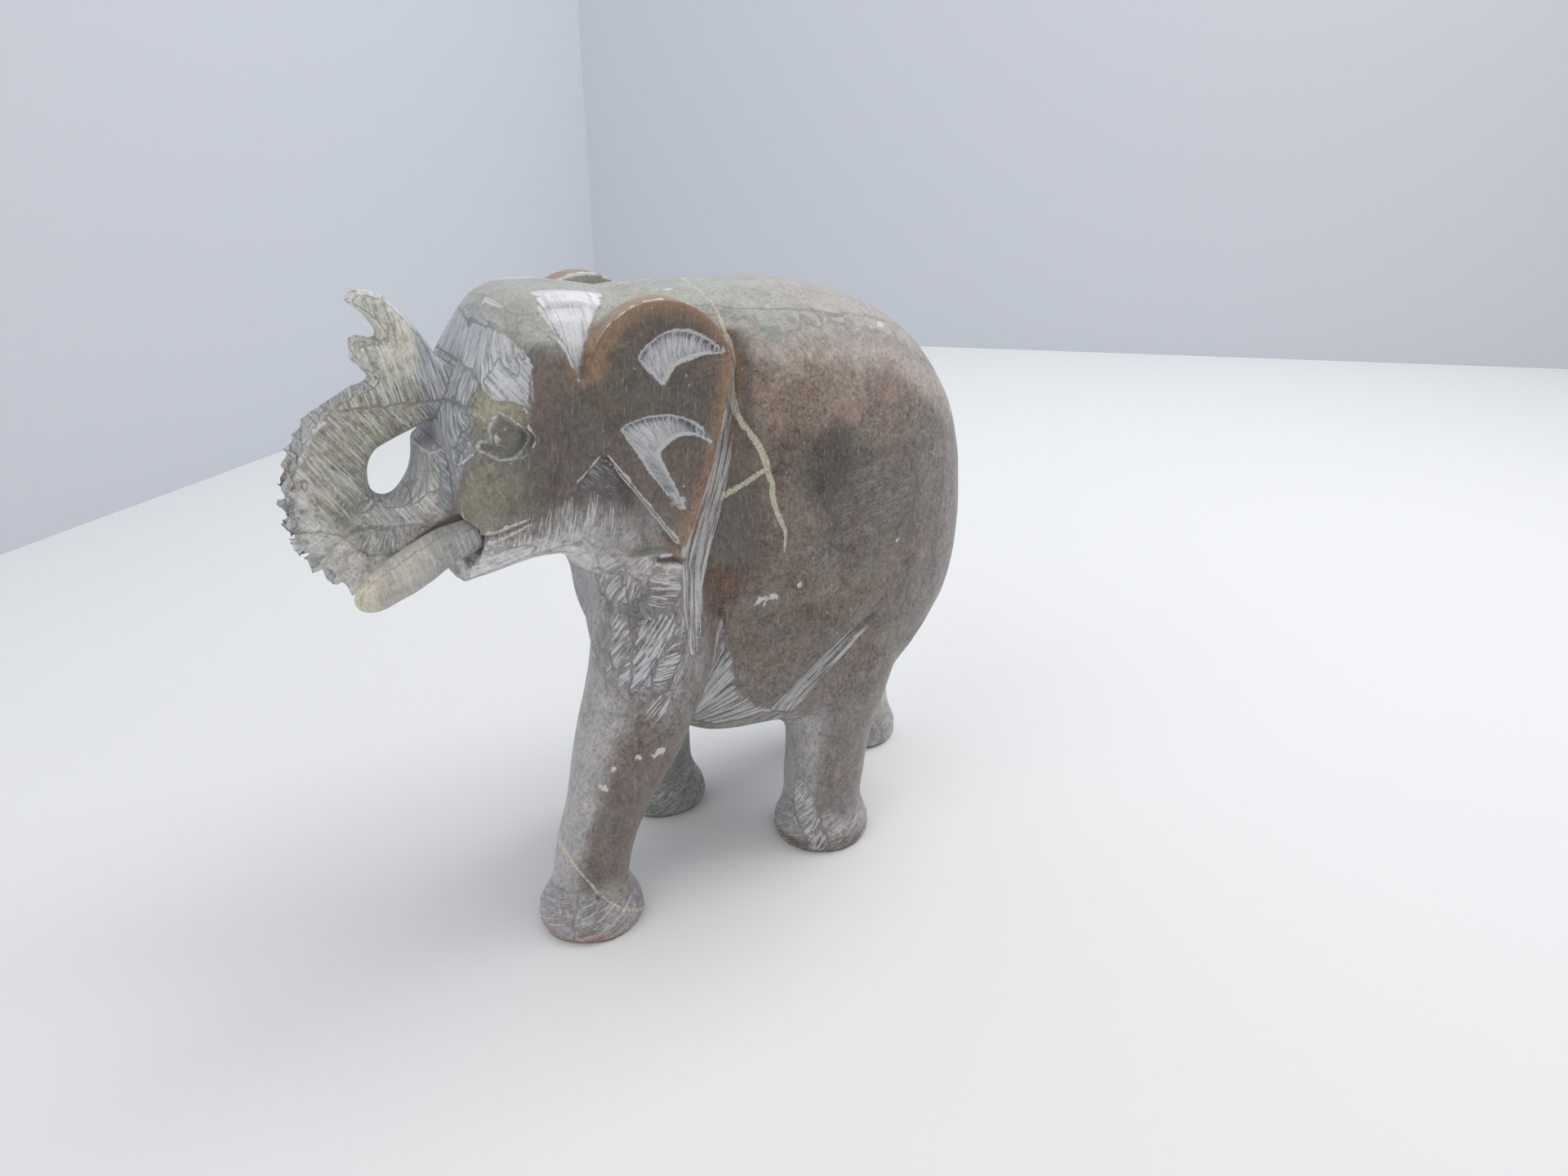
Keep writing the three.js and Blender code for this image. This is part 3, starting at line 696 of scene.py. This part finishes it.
def chipped_places(skin, bulge):
    """convex edges are chipped pale, and so are the rims of the crescents and single spots"""
    place, ear_face = skin.place, skin.ear_face
    ear_rim = ear_face * ramp(3, 1.5, skin.to_rim)
    chipped = ramp(0.05, 0.15, bulge) * np.maximum(skin.head * (1 - ear_rim), 0.2)
    chipped *= 1 - 0.6 * skin.hollow
    crescent_rim = ramp(0.5, 0.1, np.abs(skin.hollow_depth + 0.35))
    chipped = np.maximum(chipped, skin.ear_zone * crescent_rim)
    straight_edge, _, _ = along_line(place, [STEP_CORNER, EAR_TIP])
    chipped = np.maximum(chipped, 0.8 * ear_face * ramp(0.4, 0.1, straight_edge))
    for centre, size in SINGLE_CHIPS:
        spot = blot(place, centre, (1.15 * size, 0.8 * size))
        chipped = np.maximum(chipped, 1.2 * skin.left * spot)
    return chipped


def crevice_places(skin, bulge):
    """dust and shadow in hollow corners, in the crack at the ear's tip and in two ankle pits"""
    crevice = ramp(0.05, 0.22, -bulge) * (0.6 - 0.35 * skin.head) * (1 - 0.8 * skin.hollow)
    crack, _, _ = along_line(skin.place, EAR_CRACK)
    crevice = np.maximum(crevice, ramp(0.8, 0.3, crack) * skin.sideways)
    for centre in ((-29.6, 9.4), (-22.2, 10.2)):
        pit = blot(skin.place, centre, (0.7, 0.6))
        crevice = np.maximum(crevice, skin.left * pit * skin.front_leg)
    return crevice


def put_looks(piece, tones, strokes, **masks):
    put(piece, "stone_tone", "FLOAT_COLOR", tones.values)
    put(piece, "stroke_place", "FLOAT_VECTOR", strokes.place)
    put(piece, "stroke_cut", "FLOAT", strokes.cut)
    for name, values in masks.items():
        put(piece, name, "FLOAT", values)


def paint_stone(piece):
    skin = stone_skin(piece)
    tones = Tones(len(skin.points), (119, 110, 103))
    for paint in (paint_flank, paint_back, paint_legs, paint_head, paint_ears, paint_notch,
                  paint_hollows, paint_cuts, paint_face, paint_trunk, paint_eyes):
        paint(skin, tones.wash)
    vein = paint_veins(skin, tones.wash)
    strokes = Strokes(skin.points, skin.normals)
    for stroke in (stroke_body, stroke_trunk, stroke_chest, stroke_face, stroke_cuts):
        stroke(skin, strokes)
    bulge = skin.bulge(8)
    polish = skin.ear_face + 0.6 * skin.sideways * (1 - skin.head) * (skin.z > 50)
    polish = np.clip(polish, 0, 1) - 1.5 * np.maximum(skin.notch, 0.5 * skin.top)
    put_looks(piece, tones, strokes, vein=vein, chipped=chipped_places(skin, bulge),
              crevice=crevice_places(skin, bulge), polish=polish)


def paint_tusk(piece):
    skin = Skin(piece)
    count = len(skin.points)
    y = skin.y + 1.2 * lumps(skin.points, 3, 41)
    tones = Tones(count, (188, 185, 175))
    tones.wash((106, 107, 108), ramp(-53.5, -47.5, y))
    tones.wash((184, 183, 179), 0.6 * ramp(-58, -50, y))
    tones.wash((208, 203, 184), ramp(-59, -63, y))
    strokes = Strokes(skin.points, skin.normals)
    strokes.straight(np.ones(count), 0.5, 100, cross=0.5)
    bulge = skin.bulge(6)
    put_looks(piece, tones, strokes, vein=np.zeros(count), chipped=ramp(0.05, 0.15, bulge),
              crevice=ramp(0.05, 0.2, -bulge), polish=np.full(count, 0.4))


# ---- Tool marks on the stone: how hard, at what angle in degrees, how fine ----

def stroke_body(skin, strokes):
    rump = ramp(45, 60, skin.y) * skin.sideways
    flank = blot(skin.loose, (36, 84), (14, 12), 0, 0.9) * skin.sideways
    strokes.straight(np.ones(len(skin.points)), 0.16, 86)
    strokes.straight(skin.top, 0.2, 24)
    strokes.straight(skin.ear_face, 0.2, 88, fineness=1.3)
    strokes.straight(flank, 0.3, 8, fineness=1.7, long=1.6)
    strokes.straight(rump, 0.28, 70, cross=0.6)
    strokes.straight(skin.forward, 0.34, 75, cross=0.4)
    strokes.straight(skin.foot, 0.55, 24, cross=0.7)
    strokes.straight(skin.far_front, 0.42, 20, cross=0.3, fineness=1.4)


def stroke_trunk(skin, strokes):
    trunk = skin.trunk
    patchy = ramp(-0.5, 0.5, lumps(skin.points, 6, 52))
    strokes.straight(trunk * patchy, 0.36, 62, cross=0.3, fineness=1.1)
    bend_area = trunk * blot(skin.loose, (-57, 90), (7, 6)) * (0.4 + 0.6 * patchy)
    strokes.fan(bend_area, 0.8, LOOP_CENTRE, 12)
    strokes.fan(skin.teeth, 0.6, LOOP_CENTRE, 16, cross=0.4)
    strokes.straight(trunk * ramp(112, 118, skin.z), 0.6, 112)


def stroke_chest(skin, strokes):
    """the jaw, the lip, the chest and the underside"""
    loose, z = skin.loose, skin.z
    jaw = skin.head * skin.sideways * blot(loose, (-30, 86.5), (15, 5.5), 6)
    strokes.straight(jaw, 0.72, 80, cross=0.15, fineness=0.9)
    lip = skin.head * blot(loose, (-40, 83), (9, 3.6), 12)
    strokes.straight(lip, 0.78, 16, cross=0.3, fineness=0.8)
    strokes.straight(skin.chest, 0.55, 58, cross=0.5)
    for centre, radii, turn, strength, degrees in (
        ((-11.6, 72.5), (3.2, 5.4), -30, 0.8, 165), ((-16, 62), (4.5, 9), -25, 0.92, 52),
        ((-19.8, 62), (2.6, 8), 5, 0.8, 64), ((-12.3, 58.5), (2.6, 4.5), -10, 0.95, 8),
        ((-15, 50.5), (3, 6), -35, 0.85, 48), ((-19, 73), (5, 5), 0, 0.75, 66),
        ((-16, 78), (7, 3), 0, 0.7, 40),
    ):
        rasped = blot(loose, centre, radii, turn, 0.6) * ramp(0.05, 0.35, skin.nx)
        strokes.straight(rasped, strength, degrees, fineness=0.8)
    under = ramp(-0.2, -0.6, skin.nz) * ramp(18, 24, z) * ramp(95, 85, z)
    strokes.straight(under, 0.6, 35, cross=0.6)


def stroke_face(skin, strokes):
    strokes.straight(skin.front, 0.66, -56, cross=0.5)
    strokes.straight(skin.front * ramp(108, 112, skin.z), 0.8, -80, long=1.6)
    strokes.straight(skin.step, 0.8, -38, cross=0.3, fineness=1.5)
    strokes.straight(skin.patch, 0.95, -58, long=2)
    strokes.fan(skin.notch, 0.85, (NOTCH_TIP[0], NOTCH_TIP[1] - 14), 20, long=2)
    upper = skin.z > 107
    strokes.fan(skin.hollow * upper, 0.8, (-5.5, 103), 12, fineness=1.1)
    strokes.fan(skin.hollow * ~upper, 0.8, (-4, 92), 12, fineness=1.1)
    strokes.straight(skin.ring, 0.7, 60, cross=1)


def stroke_cuts(skin, strokes):
    """the long rasped channels, and the front edge of the near rear leg"""
    strokes.follow(ramp(0, 0.4, skin.channel), 1, CHANNEL, fineness=0.8)
    swayed = skin.loose * 0.5 + skin.place * 0.5
    thigh = groove(swayed, THIGH_GROOVE, (0.8, 2.6, 3.4, 4.8), 1) * skin.sideways
    strokes.follow(ramp(0, 0.4, thigh), 1, THIGH_GROOVE, fineness=0.75)
    strokes.fan(skin.elbow, 1, (-10, 30), 16, fineness=0.75, long=2.5)
    edge = np.interp(skin.z, (3, 12, 22, 34), (23.6, 22, 20, 17.6))
    shin = ramp(2.6, 1.4, np.abs(skin.y - edge)) * ramp(38, 33, skin.z)
    strokes.straight(shin * ramp(0.1, 0.4, skin.normals[:, 0]), 0.9, 62, cross=0.2, fineness=0.85)


# ---- Shader tools ----

def start_group(name, inputs, outputs):
    """an empty node group with named sockets"""
    tree = bpy.data.node_groups.new(name, "ShaderNodeTree")
    for label, kind, value in inputs:
        socket = tree.interface.new_socket(label, in_out="INPUT", socket_type="NodeSocket" + kind)
        if value is not None:
            socket.default_value = value
    for label, kind in outputs:
        tree.interface.new_socket(label, in_out="OUTPUT", socket_type="NodeSocket" + kind)
    entry, result = tree.nodes.new("NodeGroupInput"), tree.nodes.new("NodeGroupOutput")
    return tree, entry.outputs, result.inputs


def connect(tree, value, socket):
    """value is an output socket, or a plain number, colour or vector"""
    if isinstance(value, bpy.types.NodeSocket):
        tree.links.new(value, socket)
    else:
        socket.default_value = value


def maths(tree, operation, *values, clamp=False):
    node = tree.nodes.new("ShaderNodeMath")
    node.operation, node.use_clamp = operation, clamp
    for value, socket in zip(values, node.inputs):
        connect(tree, value, socket)
    return node.outputs[0]


def vector_maths(tree, operation, first, second=None, scale=None):
    node = tree.nodes.new("ShaderNodeVectorMath")
    node.operation = operation
    connect(tree, first, node.inputs[0])
    if second is not None:
        connect(tree, second, node.inputs[1])
    if scale is not None:
        connect(tree, scale, node.inputs["Scale"])
    return node.outputs["Vector"]


def noise(tree, place, scale, detail=3.0, roughness=0.55, output="Fac"):
    node = tree.nodes.new("ShaderNodeTexNoise")
    connect(tree, place, node.inputs["Vector"])
    node.inputs["Scale"].default_value = scale
    node.inputs["Detail"].default_value = detail
    node.inputs["Roughness"].default_value = roughness
    return node.outputs[output]


def spread(tree, value, low, high, to_low=0.0, to_high=1.0):
    node = tree.nodes.new("ShaderNodeMapRange")
    node.interpolation_type = "SMOOTHSTEP"
    for socket, number in zip(node.inputs, (value, low, high, to_low, to_high)):
        connect(tree, number, socket)
    return node.outputs[0]


def blend(tree, share, first, second, kind="MIX"):
    node = tree.nodes.new("ShaderNodeMix")
    node.data_type, node.blend_type = "RGBA", kind
    connect(tree, share, node.inputs[0])
    connect(tree, first, node.inputs[6])
    connect(tree, second, node.inputs[7])
    return node.outputs[2]


def placed(tree, group, **values):
    node = tree.nodes.new("ShaderNodeGroup")
    node.node_tree = group
    for name, value in values.items():
        connect(tree, value, node.inputs[name.replace("_", " ").capitalize()])
    return node.outputs


def shade(colour):
    return (*linear(colour), 1.0)


# ---- Effects shared by the stones ----

GREY = (0.2, 0.2, 0.2, 1)
COLOUR_IN, PLACE_IN = ("Color", "Color", GREY), ("Place", "Vector", None)
COLOUR_OUT, MASK_OUT = ("Color", "Color"), ("Mask", "Float")

def mottling_group():
    """the cloudy, grainy colour of the stone round its tone; Place is in millimetres"""
    tree, given, result = start_group(
        "stone_mottling",
        [("Tone", "Color", GREY), PLACE_IN, ("Strength", "Float", 1.0)],
        [COLOUR_OUT, ("Grain", "Float")])
    drift = noise(tree, given["Place"], 0.16, 2, output="Color")
    drift = vector_maths(tree, "SCALE", drift, scale=7.0)
    warped = vector_maths(tree, "ADD", given["Place"], drift)
    cloud = noise(tree, warped, 0.2, 5, 0.62)
    grain = noise(tree, warped, 0.55, 5, 0.72)
    speck = noise(tree, given["Place"], 1.5, 4, 0.7)
    hue = noise(tree, warped, 0.13, 3, 0.6)
    light = 0.0
    for unevenness, weight in ((cloud, 1.5), (grain, 2.3), (speck, 2.8)):
        unevenness = maths(tree, "SUBTRACT", unevenness, 0.5)
        light = maths(tree, "MULTIPLY_ADD", unevenness, weight, light)
    light = maths(tree, "MULTIPLY_ADD", light, given["Strength"], 1.0)
    tint = blend(tree, spread(tree, hue, 0.36, 0.64), (0.975, 1.0, 0.97, 1), (1.06, 0.97, 0.94, 1))
    tint = blend(tree, given["Strength"], (1, 1, 1, 1), tint)
    colour = vector_maths(tree, "MULTIPLY", given["Tone"], tint)
    colour = vector_maths(tree, "SCALE", colour, scale=light)
    cells = tree.nodes.new("ShaderNodeTexVoronoi")
    cells.feature = "DISTANCE_TO_EDGE"
    cells.inputs["Scale"].default_value = 0.13
    connect(tree, warped, cells.inputs["Vector"])
    thread = spread(tree, cells.outputs["Distance"], 0.0, 0.022, 1.0, 0.0)
    broken = spread(tree, noise(tree, warped, 0.3, 2), 0.5, 0.62)
    thread = maths(tree, "MULTIPLY", maths(tree, "MULTIPLY", thread, broken), 0.16)
    colour = blend(tree, thread, colour, shade(THREAD))
    dots = noise(tree, given["Place"], 1.25, 2, 0.5)
    pits = maths(tree, "MULTIPLY", spread(tree, dots, 0.31, 0.26), 0.45)
    colour = blend(tree, pits, colour, shade(PIT))
    crumbs = maths(tree, "MULTIPLY", spread(tree, dots, 0.73, 0.77), 0.75)
    connect(tree, blend(tree, crumbs, colour, shade(CRUMB)), result["Color"])
    connect(tree, grain, result["Grain"])
    return tree


def strokes_group():
    """dashes that a rasp leaves. Place is across, along and how much a second set crosses"""
    tree, given, result = start_group(
        "rasp_strokes",
        [PLACE_IN, ("Cut", "Float", 0.0)],
        [MASK_OUT, ("Gap", "Float"), ("Height", "Float")])
    parts = tree.nodes.new("ShaderNodeSeparateXYZ")
    connect(tree, given["Place"], parts.inputs[0])
    across, along, cross = parts.outputs

    def dashes(u, v, pitch, length, seed):
        joined = tree.nodes.new("ShaderNodeCombineXYZ")
        connect(tree, maths(tree, "DIVIDE", u, pitch), joined.inputs[0])
        connect(tree, maths(tree, "DIVIDE", v, length), joined.inputs[1])
        joined.inputs[2].default_value = seed
        return noise(tree, joined.outputs[0], 1.0, 2.0, 0.5)

    turn = math.radians(62)
    c, s = math.cos(turn), math.sin(turn)
    turned_across = maths(tree, "MULTIPLY_ADD", across, c, maths(tree, "MULTIPLY", along, s))
    turned_along = maths(tree, "MULTIPLY_ADD", across, -s, maths(tree, "MULTIPLY", along, c))
    first = dashes(across, along, 0.29, 3.6, 1.5)
    fine = dashes(across, along, 0.14, 2.4, 7.5)
    second = dashes(turned_across, turned_along, 0.29, 2.8, 4.5)
    first = maths(tree, "MULTIPLY_ADD", fine, 0.4, maths(tree, "MULTIPLY", first, 0.6))
    second = maths(tree, "MULTIPLY", second, maths(tree, "MULTIPLY_ADD", cross, 0.5, 0.5))
    either = maths(tree, "MAXIMUM", first, second)
    reach = maths(tree, "MULTIPLY_ADD", given["Cut"], 0.14, -0.09)
    lifted = maths(tree, "ADD", either, reach)
    mask = spread(tree, lifted, 0.5, 0.59)
    strength = maths(tree, "MULTIPLY", given["Cut"], 1.35, clamp=True)
    connect(tree, maths(tree, "MULTIPLY", mask, strength), result["Mask"])
    gap = spread(tree, lifted, 0.42, 0.52, 1.0, 0.0)
    deep = spread(tree, given["Cut"], 0.4, 0.9)
    connect(tree, maths(tree, "MULTIPLY", gap, deep), result["Gap"])
    connect(tree, maths(tree, "MULTIPLY", maths(tree, "SUBTRACT", 0.5, either), strength),
            result["Height"])
    return tree


def vein_group():
    """pale crystal running through the stone where Vein is high"""
    tree, given, result = start_group(
        "crystal_vein",
        [COLOUR_IN, ("Vein", "Float", 0.0), PLACE_IN],
        [COLOUR_OUT, MASK_OUT])
    ragged = noise(tree, given["Place"], 1.3, 4, 0.7)
    mask = maths(tree, "MULTIPLY_ADD", ragged, 1.6, maths(tree, "SUBTRACT", given["Vein"], 1.3))
    mask = spread(tree, mask, 0.0, 0.32)
    crystals = noise(tree, given["Place"], 2.4, 3, 0.7)
    sparkle = spread(tree, crystals, 0.35, 0.65)
    pale = blend(tree, sparkle, shade(DULL_CRYSTAL), shade(BRIGHT_CRYSTAL))
    connect(tree, blend(tree, maths(tree, "MULTIPLY", mask, 0.85), given["Color"], pale),
            result["Color"])
    connect(tree, mask, result["Mask"])
    return tree


def wear_group():
    """chips along edges, left pale and matt, and dust and painted shade in the deepest corners"""
    tree, given, result = start_group(
        "chipped_edges",
        [COLOUR_IN, ("Chipped", "Float", 0.0),
         ("Crevice", "Float", 0.0), PLACE_IN],
        [COLOUR_OUT, MASK_OUT])
    ragged = noise(tree, given["Place"], 1.6, 3, 0.7)
    mask = maths(tree, "ADD", given["Chipped"], maths(tree, "MULTIPLY_ADD", ragged, 1.2, -1.05))
    mask = spread(tree, mask, 0.0, 0.4)
    # painted shade: Crevice darkens hollow corners, cracks and pits
    dark = maths(tree, "MULTIPLY", given["Crevice"], 0.75)
    colour = blend(tree, dark, given["Color"], shade(DUST_AND_SHADE))
    colour = blend(tree, maths(tree, "MULTIPLY", mask, 0.9), colour, shade(CHIP))
    connect(tree, colour, result["Color"])
    connect(tree, mask, result["Mask"])
    return tree


def attribute(tree, name, output="Fac"):
    node = tree.nodes.new("ShaderNodeAttribute")
    node.attribute_name = name
    return node.outputs[output]


def new_material(name):
    material = bpy.data.materials.new(name)
    material.use_nodes = True
    tree = material.node_tree
    return material, tree, next(n for n in tree.nodes if n.type == "BSDF_PRINCIPLED")


def stone_material(name, groups, mottling, streak, gloss, glow):
    """stone, veined, then scratched, then worn; gloss is its roughness and glow its clearness"""
    mottle, rasp, crystal, chips = groups
    material, tree, shader = new_material(name)
    where = tree.nodes.new("ShaderNodeTexCoord").outputs["Object"]
    place = vector_maths(tree, "SCALE", where, scale=1 / MM)

    amount = maths(tree, "MULTIPLY", attribute(tree, "stone_tone", "Alpha"), mottling)
    body = placed(tree, mottle, tone=attribute(tree, "stone_tone", "Color"), place=place,
                  strength=amount)
    vein = placed(tree, crystal, color=body["Color"], vein=attribute(tree, "vein"), place=place)
    cut = placed(tree, rasp, place=attribute(tree, "stroke_place", "Vector"),
                 cut=attribute(tree, "stroke_cut"))
    lighter = blend(tree, 0.72, vein["Color"], streak)
    between = maths(tree, "MULTIPLY", cut["Gap"], 0.32)
    shaded = blend(tree, between, vein["Color"], shade(STROKE_SHADOW))
    scratched = blend(tree, maths(tree, "MULTIPLY", cut["Mask"], 0.9), shaded, lighter)
    worn = placed(tree, chips, color=scratched, chipped=attribute(tree, "chipped"),
                  crevice=attribute(tree, "crevice"), place=place)
    connect(tree, worn["Color"], shader.inputs["Base Color"])

    rough = gloss
    for value, weight in ((cut["Mask"], 0.25), (body["Grain"], 0.12),
                          (attribute(tree, "polish"), -0.1), (worn["Mask"], 0.2)):
        rough = maths(tree, "MULTIPLY_ADD", value, weight, rough)
    connect(tree, rough, shader.inputs["Roughness"])

    pitted = noise(tree, place, 2.2, 4, 0.65)
    height = cut["Height"]
    for value, weight in ((pitted, 0.16), (worn["Mask"], -0.3), (vein["Mask"], 0.15)):
        height = maths(tree, "MULTIPLY_ADD", value, weight, height)
    bump = tree.nodes.new("ShaderNodeBump")
    bump.inputs["Strength"].default_value = 0.8
    bump.inputs["Distance"].default_value = 0.5 * MM
    connect(tree, height, bump.inputs["Height"])
    connect(tree, bump.outputs["Normal"], shader.inputs["Normal"])

    for socket, value in {
        "IOR": 1.5, "Sheen Weight": 0.22, "Sheen Roughness": 0.45, "Subsurface Weight": glow,
        "Subsurface Radius": (1.0, 0.8, 0.6), "Subsurface Scale": 1.2 * MM,
    }.items():
        shader.inputs[socket].default_value = value
    return material


# ---- The studio ----

def stage_sheet(name, corners, colour, roughness):
    """a flat sheet of backdrop through four corners, in metres"""
    bm = bmesh.new()
    bm.faces.new([bm.verts.new(corner) for corner in corners])
    mesh = bpy.data.meshes.new(name)
    bm.to_mesh(mesh)
    bm.free()
    material, _, shader = new_material(name + "_paper")
    shader.inputs["Base Color"].default_value = shade(colour)
    shader.inputs["Roughness"].default_value = roughness
    mesh.materials.append(material)
    linked(name, mesh)


CAMERA_PLACE = Vector((0.2077, -0.1000, 0.1645))
CAMERA_HEADING = Vector((-0.848, 0.530, 0)).normalized()
CAMERA_DIP = math.radians(24)
ELEPHANT_MIDDLE = Vector((0, 0, 0.06))
LENS, SENSOR = 27.04, 36            # millimetres
FLOOR_HALF, WALL_HEIGHT = 3.0, 0.9  # metres


def from_camera(ahead, right, height=0.0):
    """a point given from below the camera, along and across its heading, in metres"""
    sideways = Vector((CAMERA_HEADING.y, -CAMERA_HEADING.x, 0))
    point = CAMERA_PLACE + CAMERA_HEADING * ahead + sideways * right
    return (point.x, point.y, height)


def aim(thing, place, heading):
    thing.location = place
    thing.rotation_mode = "QUATERNION"
    thing.rotation_quaternion = heading.to_track_quat("-Z", "Y")


def studio():
    turns = ((-1, -1), (1, -1), (1, 1), (-1, 1))
    floor = [(FLOOR_HALF * across, FLOOR_HALF * along, 0) for across, along in turns]
    stage_sheet("floor", floor, FLOOR_PAPER, 0.85)
    corner, left_end, right_end = (0.783, -0.123), (0.15, -0.394), (0.55, 1.293)
    for name, start, end in (("left_wall", left_end, corner), ("right_wall", corner, right_end)):
        sheet = [from_camera(*start), from_camera(*end), from_camera(*end, WALL_HEIGHT),
                 from_camera(*start, WALL_HEIGHT)]
        stage_sheet(name, sheet, WALL_PAPER, 0.9)

    world = bpy.data.worlds.new("tent")
    world.use_nodes = True
    background = world.node_tree.nodes["Background"]
    background.inputs["Color"].default_value = (0.985, 0.99, 1.0, 1)
    background.inputs["Strength"].default_value = 0.56
    bpy.context.scene.world = world

    for name, ahead, right, height, size, power in (
        ("overhead_softbox", 0.42, 0.30, 0.62, 0.45, 2.6),
        ("front_softbox", -0.15, -0.35, 0.45, 0.5, 0.8),
    ):
        light = bpy.data.lights.new(name, "AREA")
        light.shape, light.size, light.energy = "SQUARE", size, power
        place = Vector(from_camera(ahead, right, height))
        aim(linked(name, light), place, ELEPHANT_MIDDLE - place)


def camera():
    data = bpy.data.cameras.new("camera")
    data.sensor_width, data.lens = SENSOR, LENS
    data.clip_start, data.clip_end = 0.01, 20
    viewer = linked("camera", data)
    heading = CAMERA_HEADING * math.cos(CAMERA_DIP) + Vector((0, 0, -math.sin(CAMERA_DIP)))
    aim(viewer, CAMERA_PLACE, heading)
    bpy.context.scene.camera = viewer


# ---- Putting it together ----

def finish_piece(piece, material, node):
    piece.data.materials.clear()
    piece.data.materials.append(material)
    piece.data.polygons.foreach_set("use_smooth", np.ones(len(piece.data.polygons), bool))
    piece.data.update()
    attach(piece, "root")
    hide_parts(node)


effects = (mottling_group(), strokes_group(), vein_group(), wear_group())
mottled = stone_material("mottled_stone", effects, mottling=0.85, streak=shade(COOL_POWDER),
                         gloss=0.46, glow=0.08)
pale = stone_material("pale_stone", effects, mottling=0.35, streak=shade(WARM_POWDER),
                      gloss=0.42, glow=0.15)

elephant = carved_stone()
paint_stone(elephant)
finish_piece(elephant, mottled, "carved_elephant")

for side in ("left", "right"):
    tusk = carved_tusk(side)
    paint_tusk(tusk)
    finish_piece(tusk, pale, "tusk_" + side)

studio()
camera()
bpy.context.scene.view_settings.view_transform = "Standard"
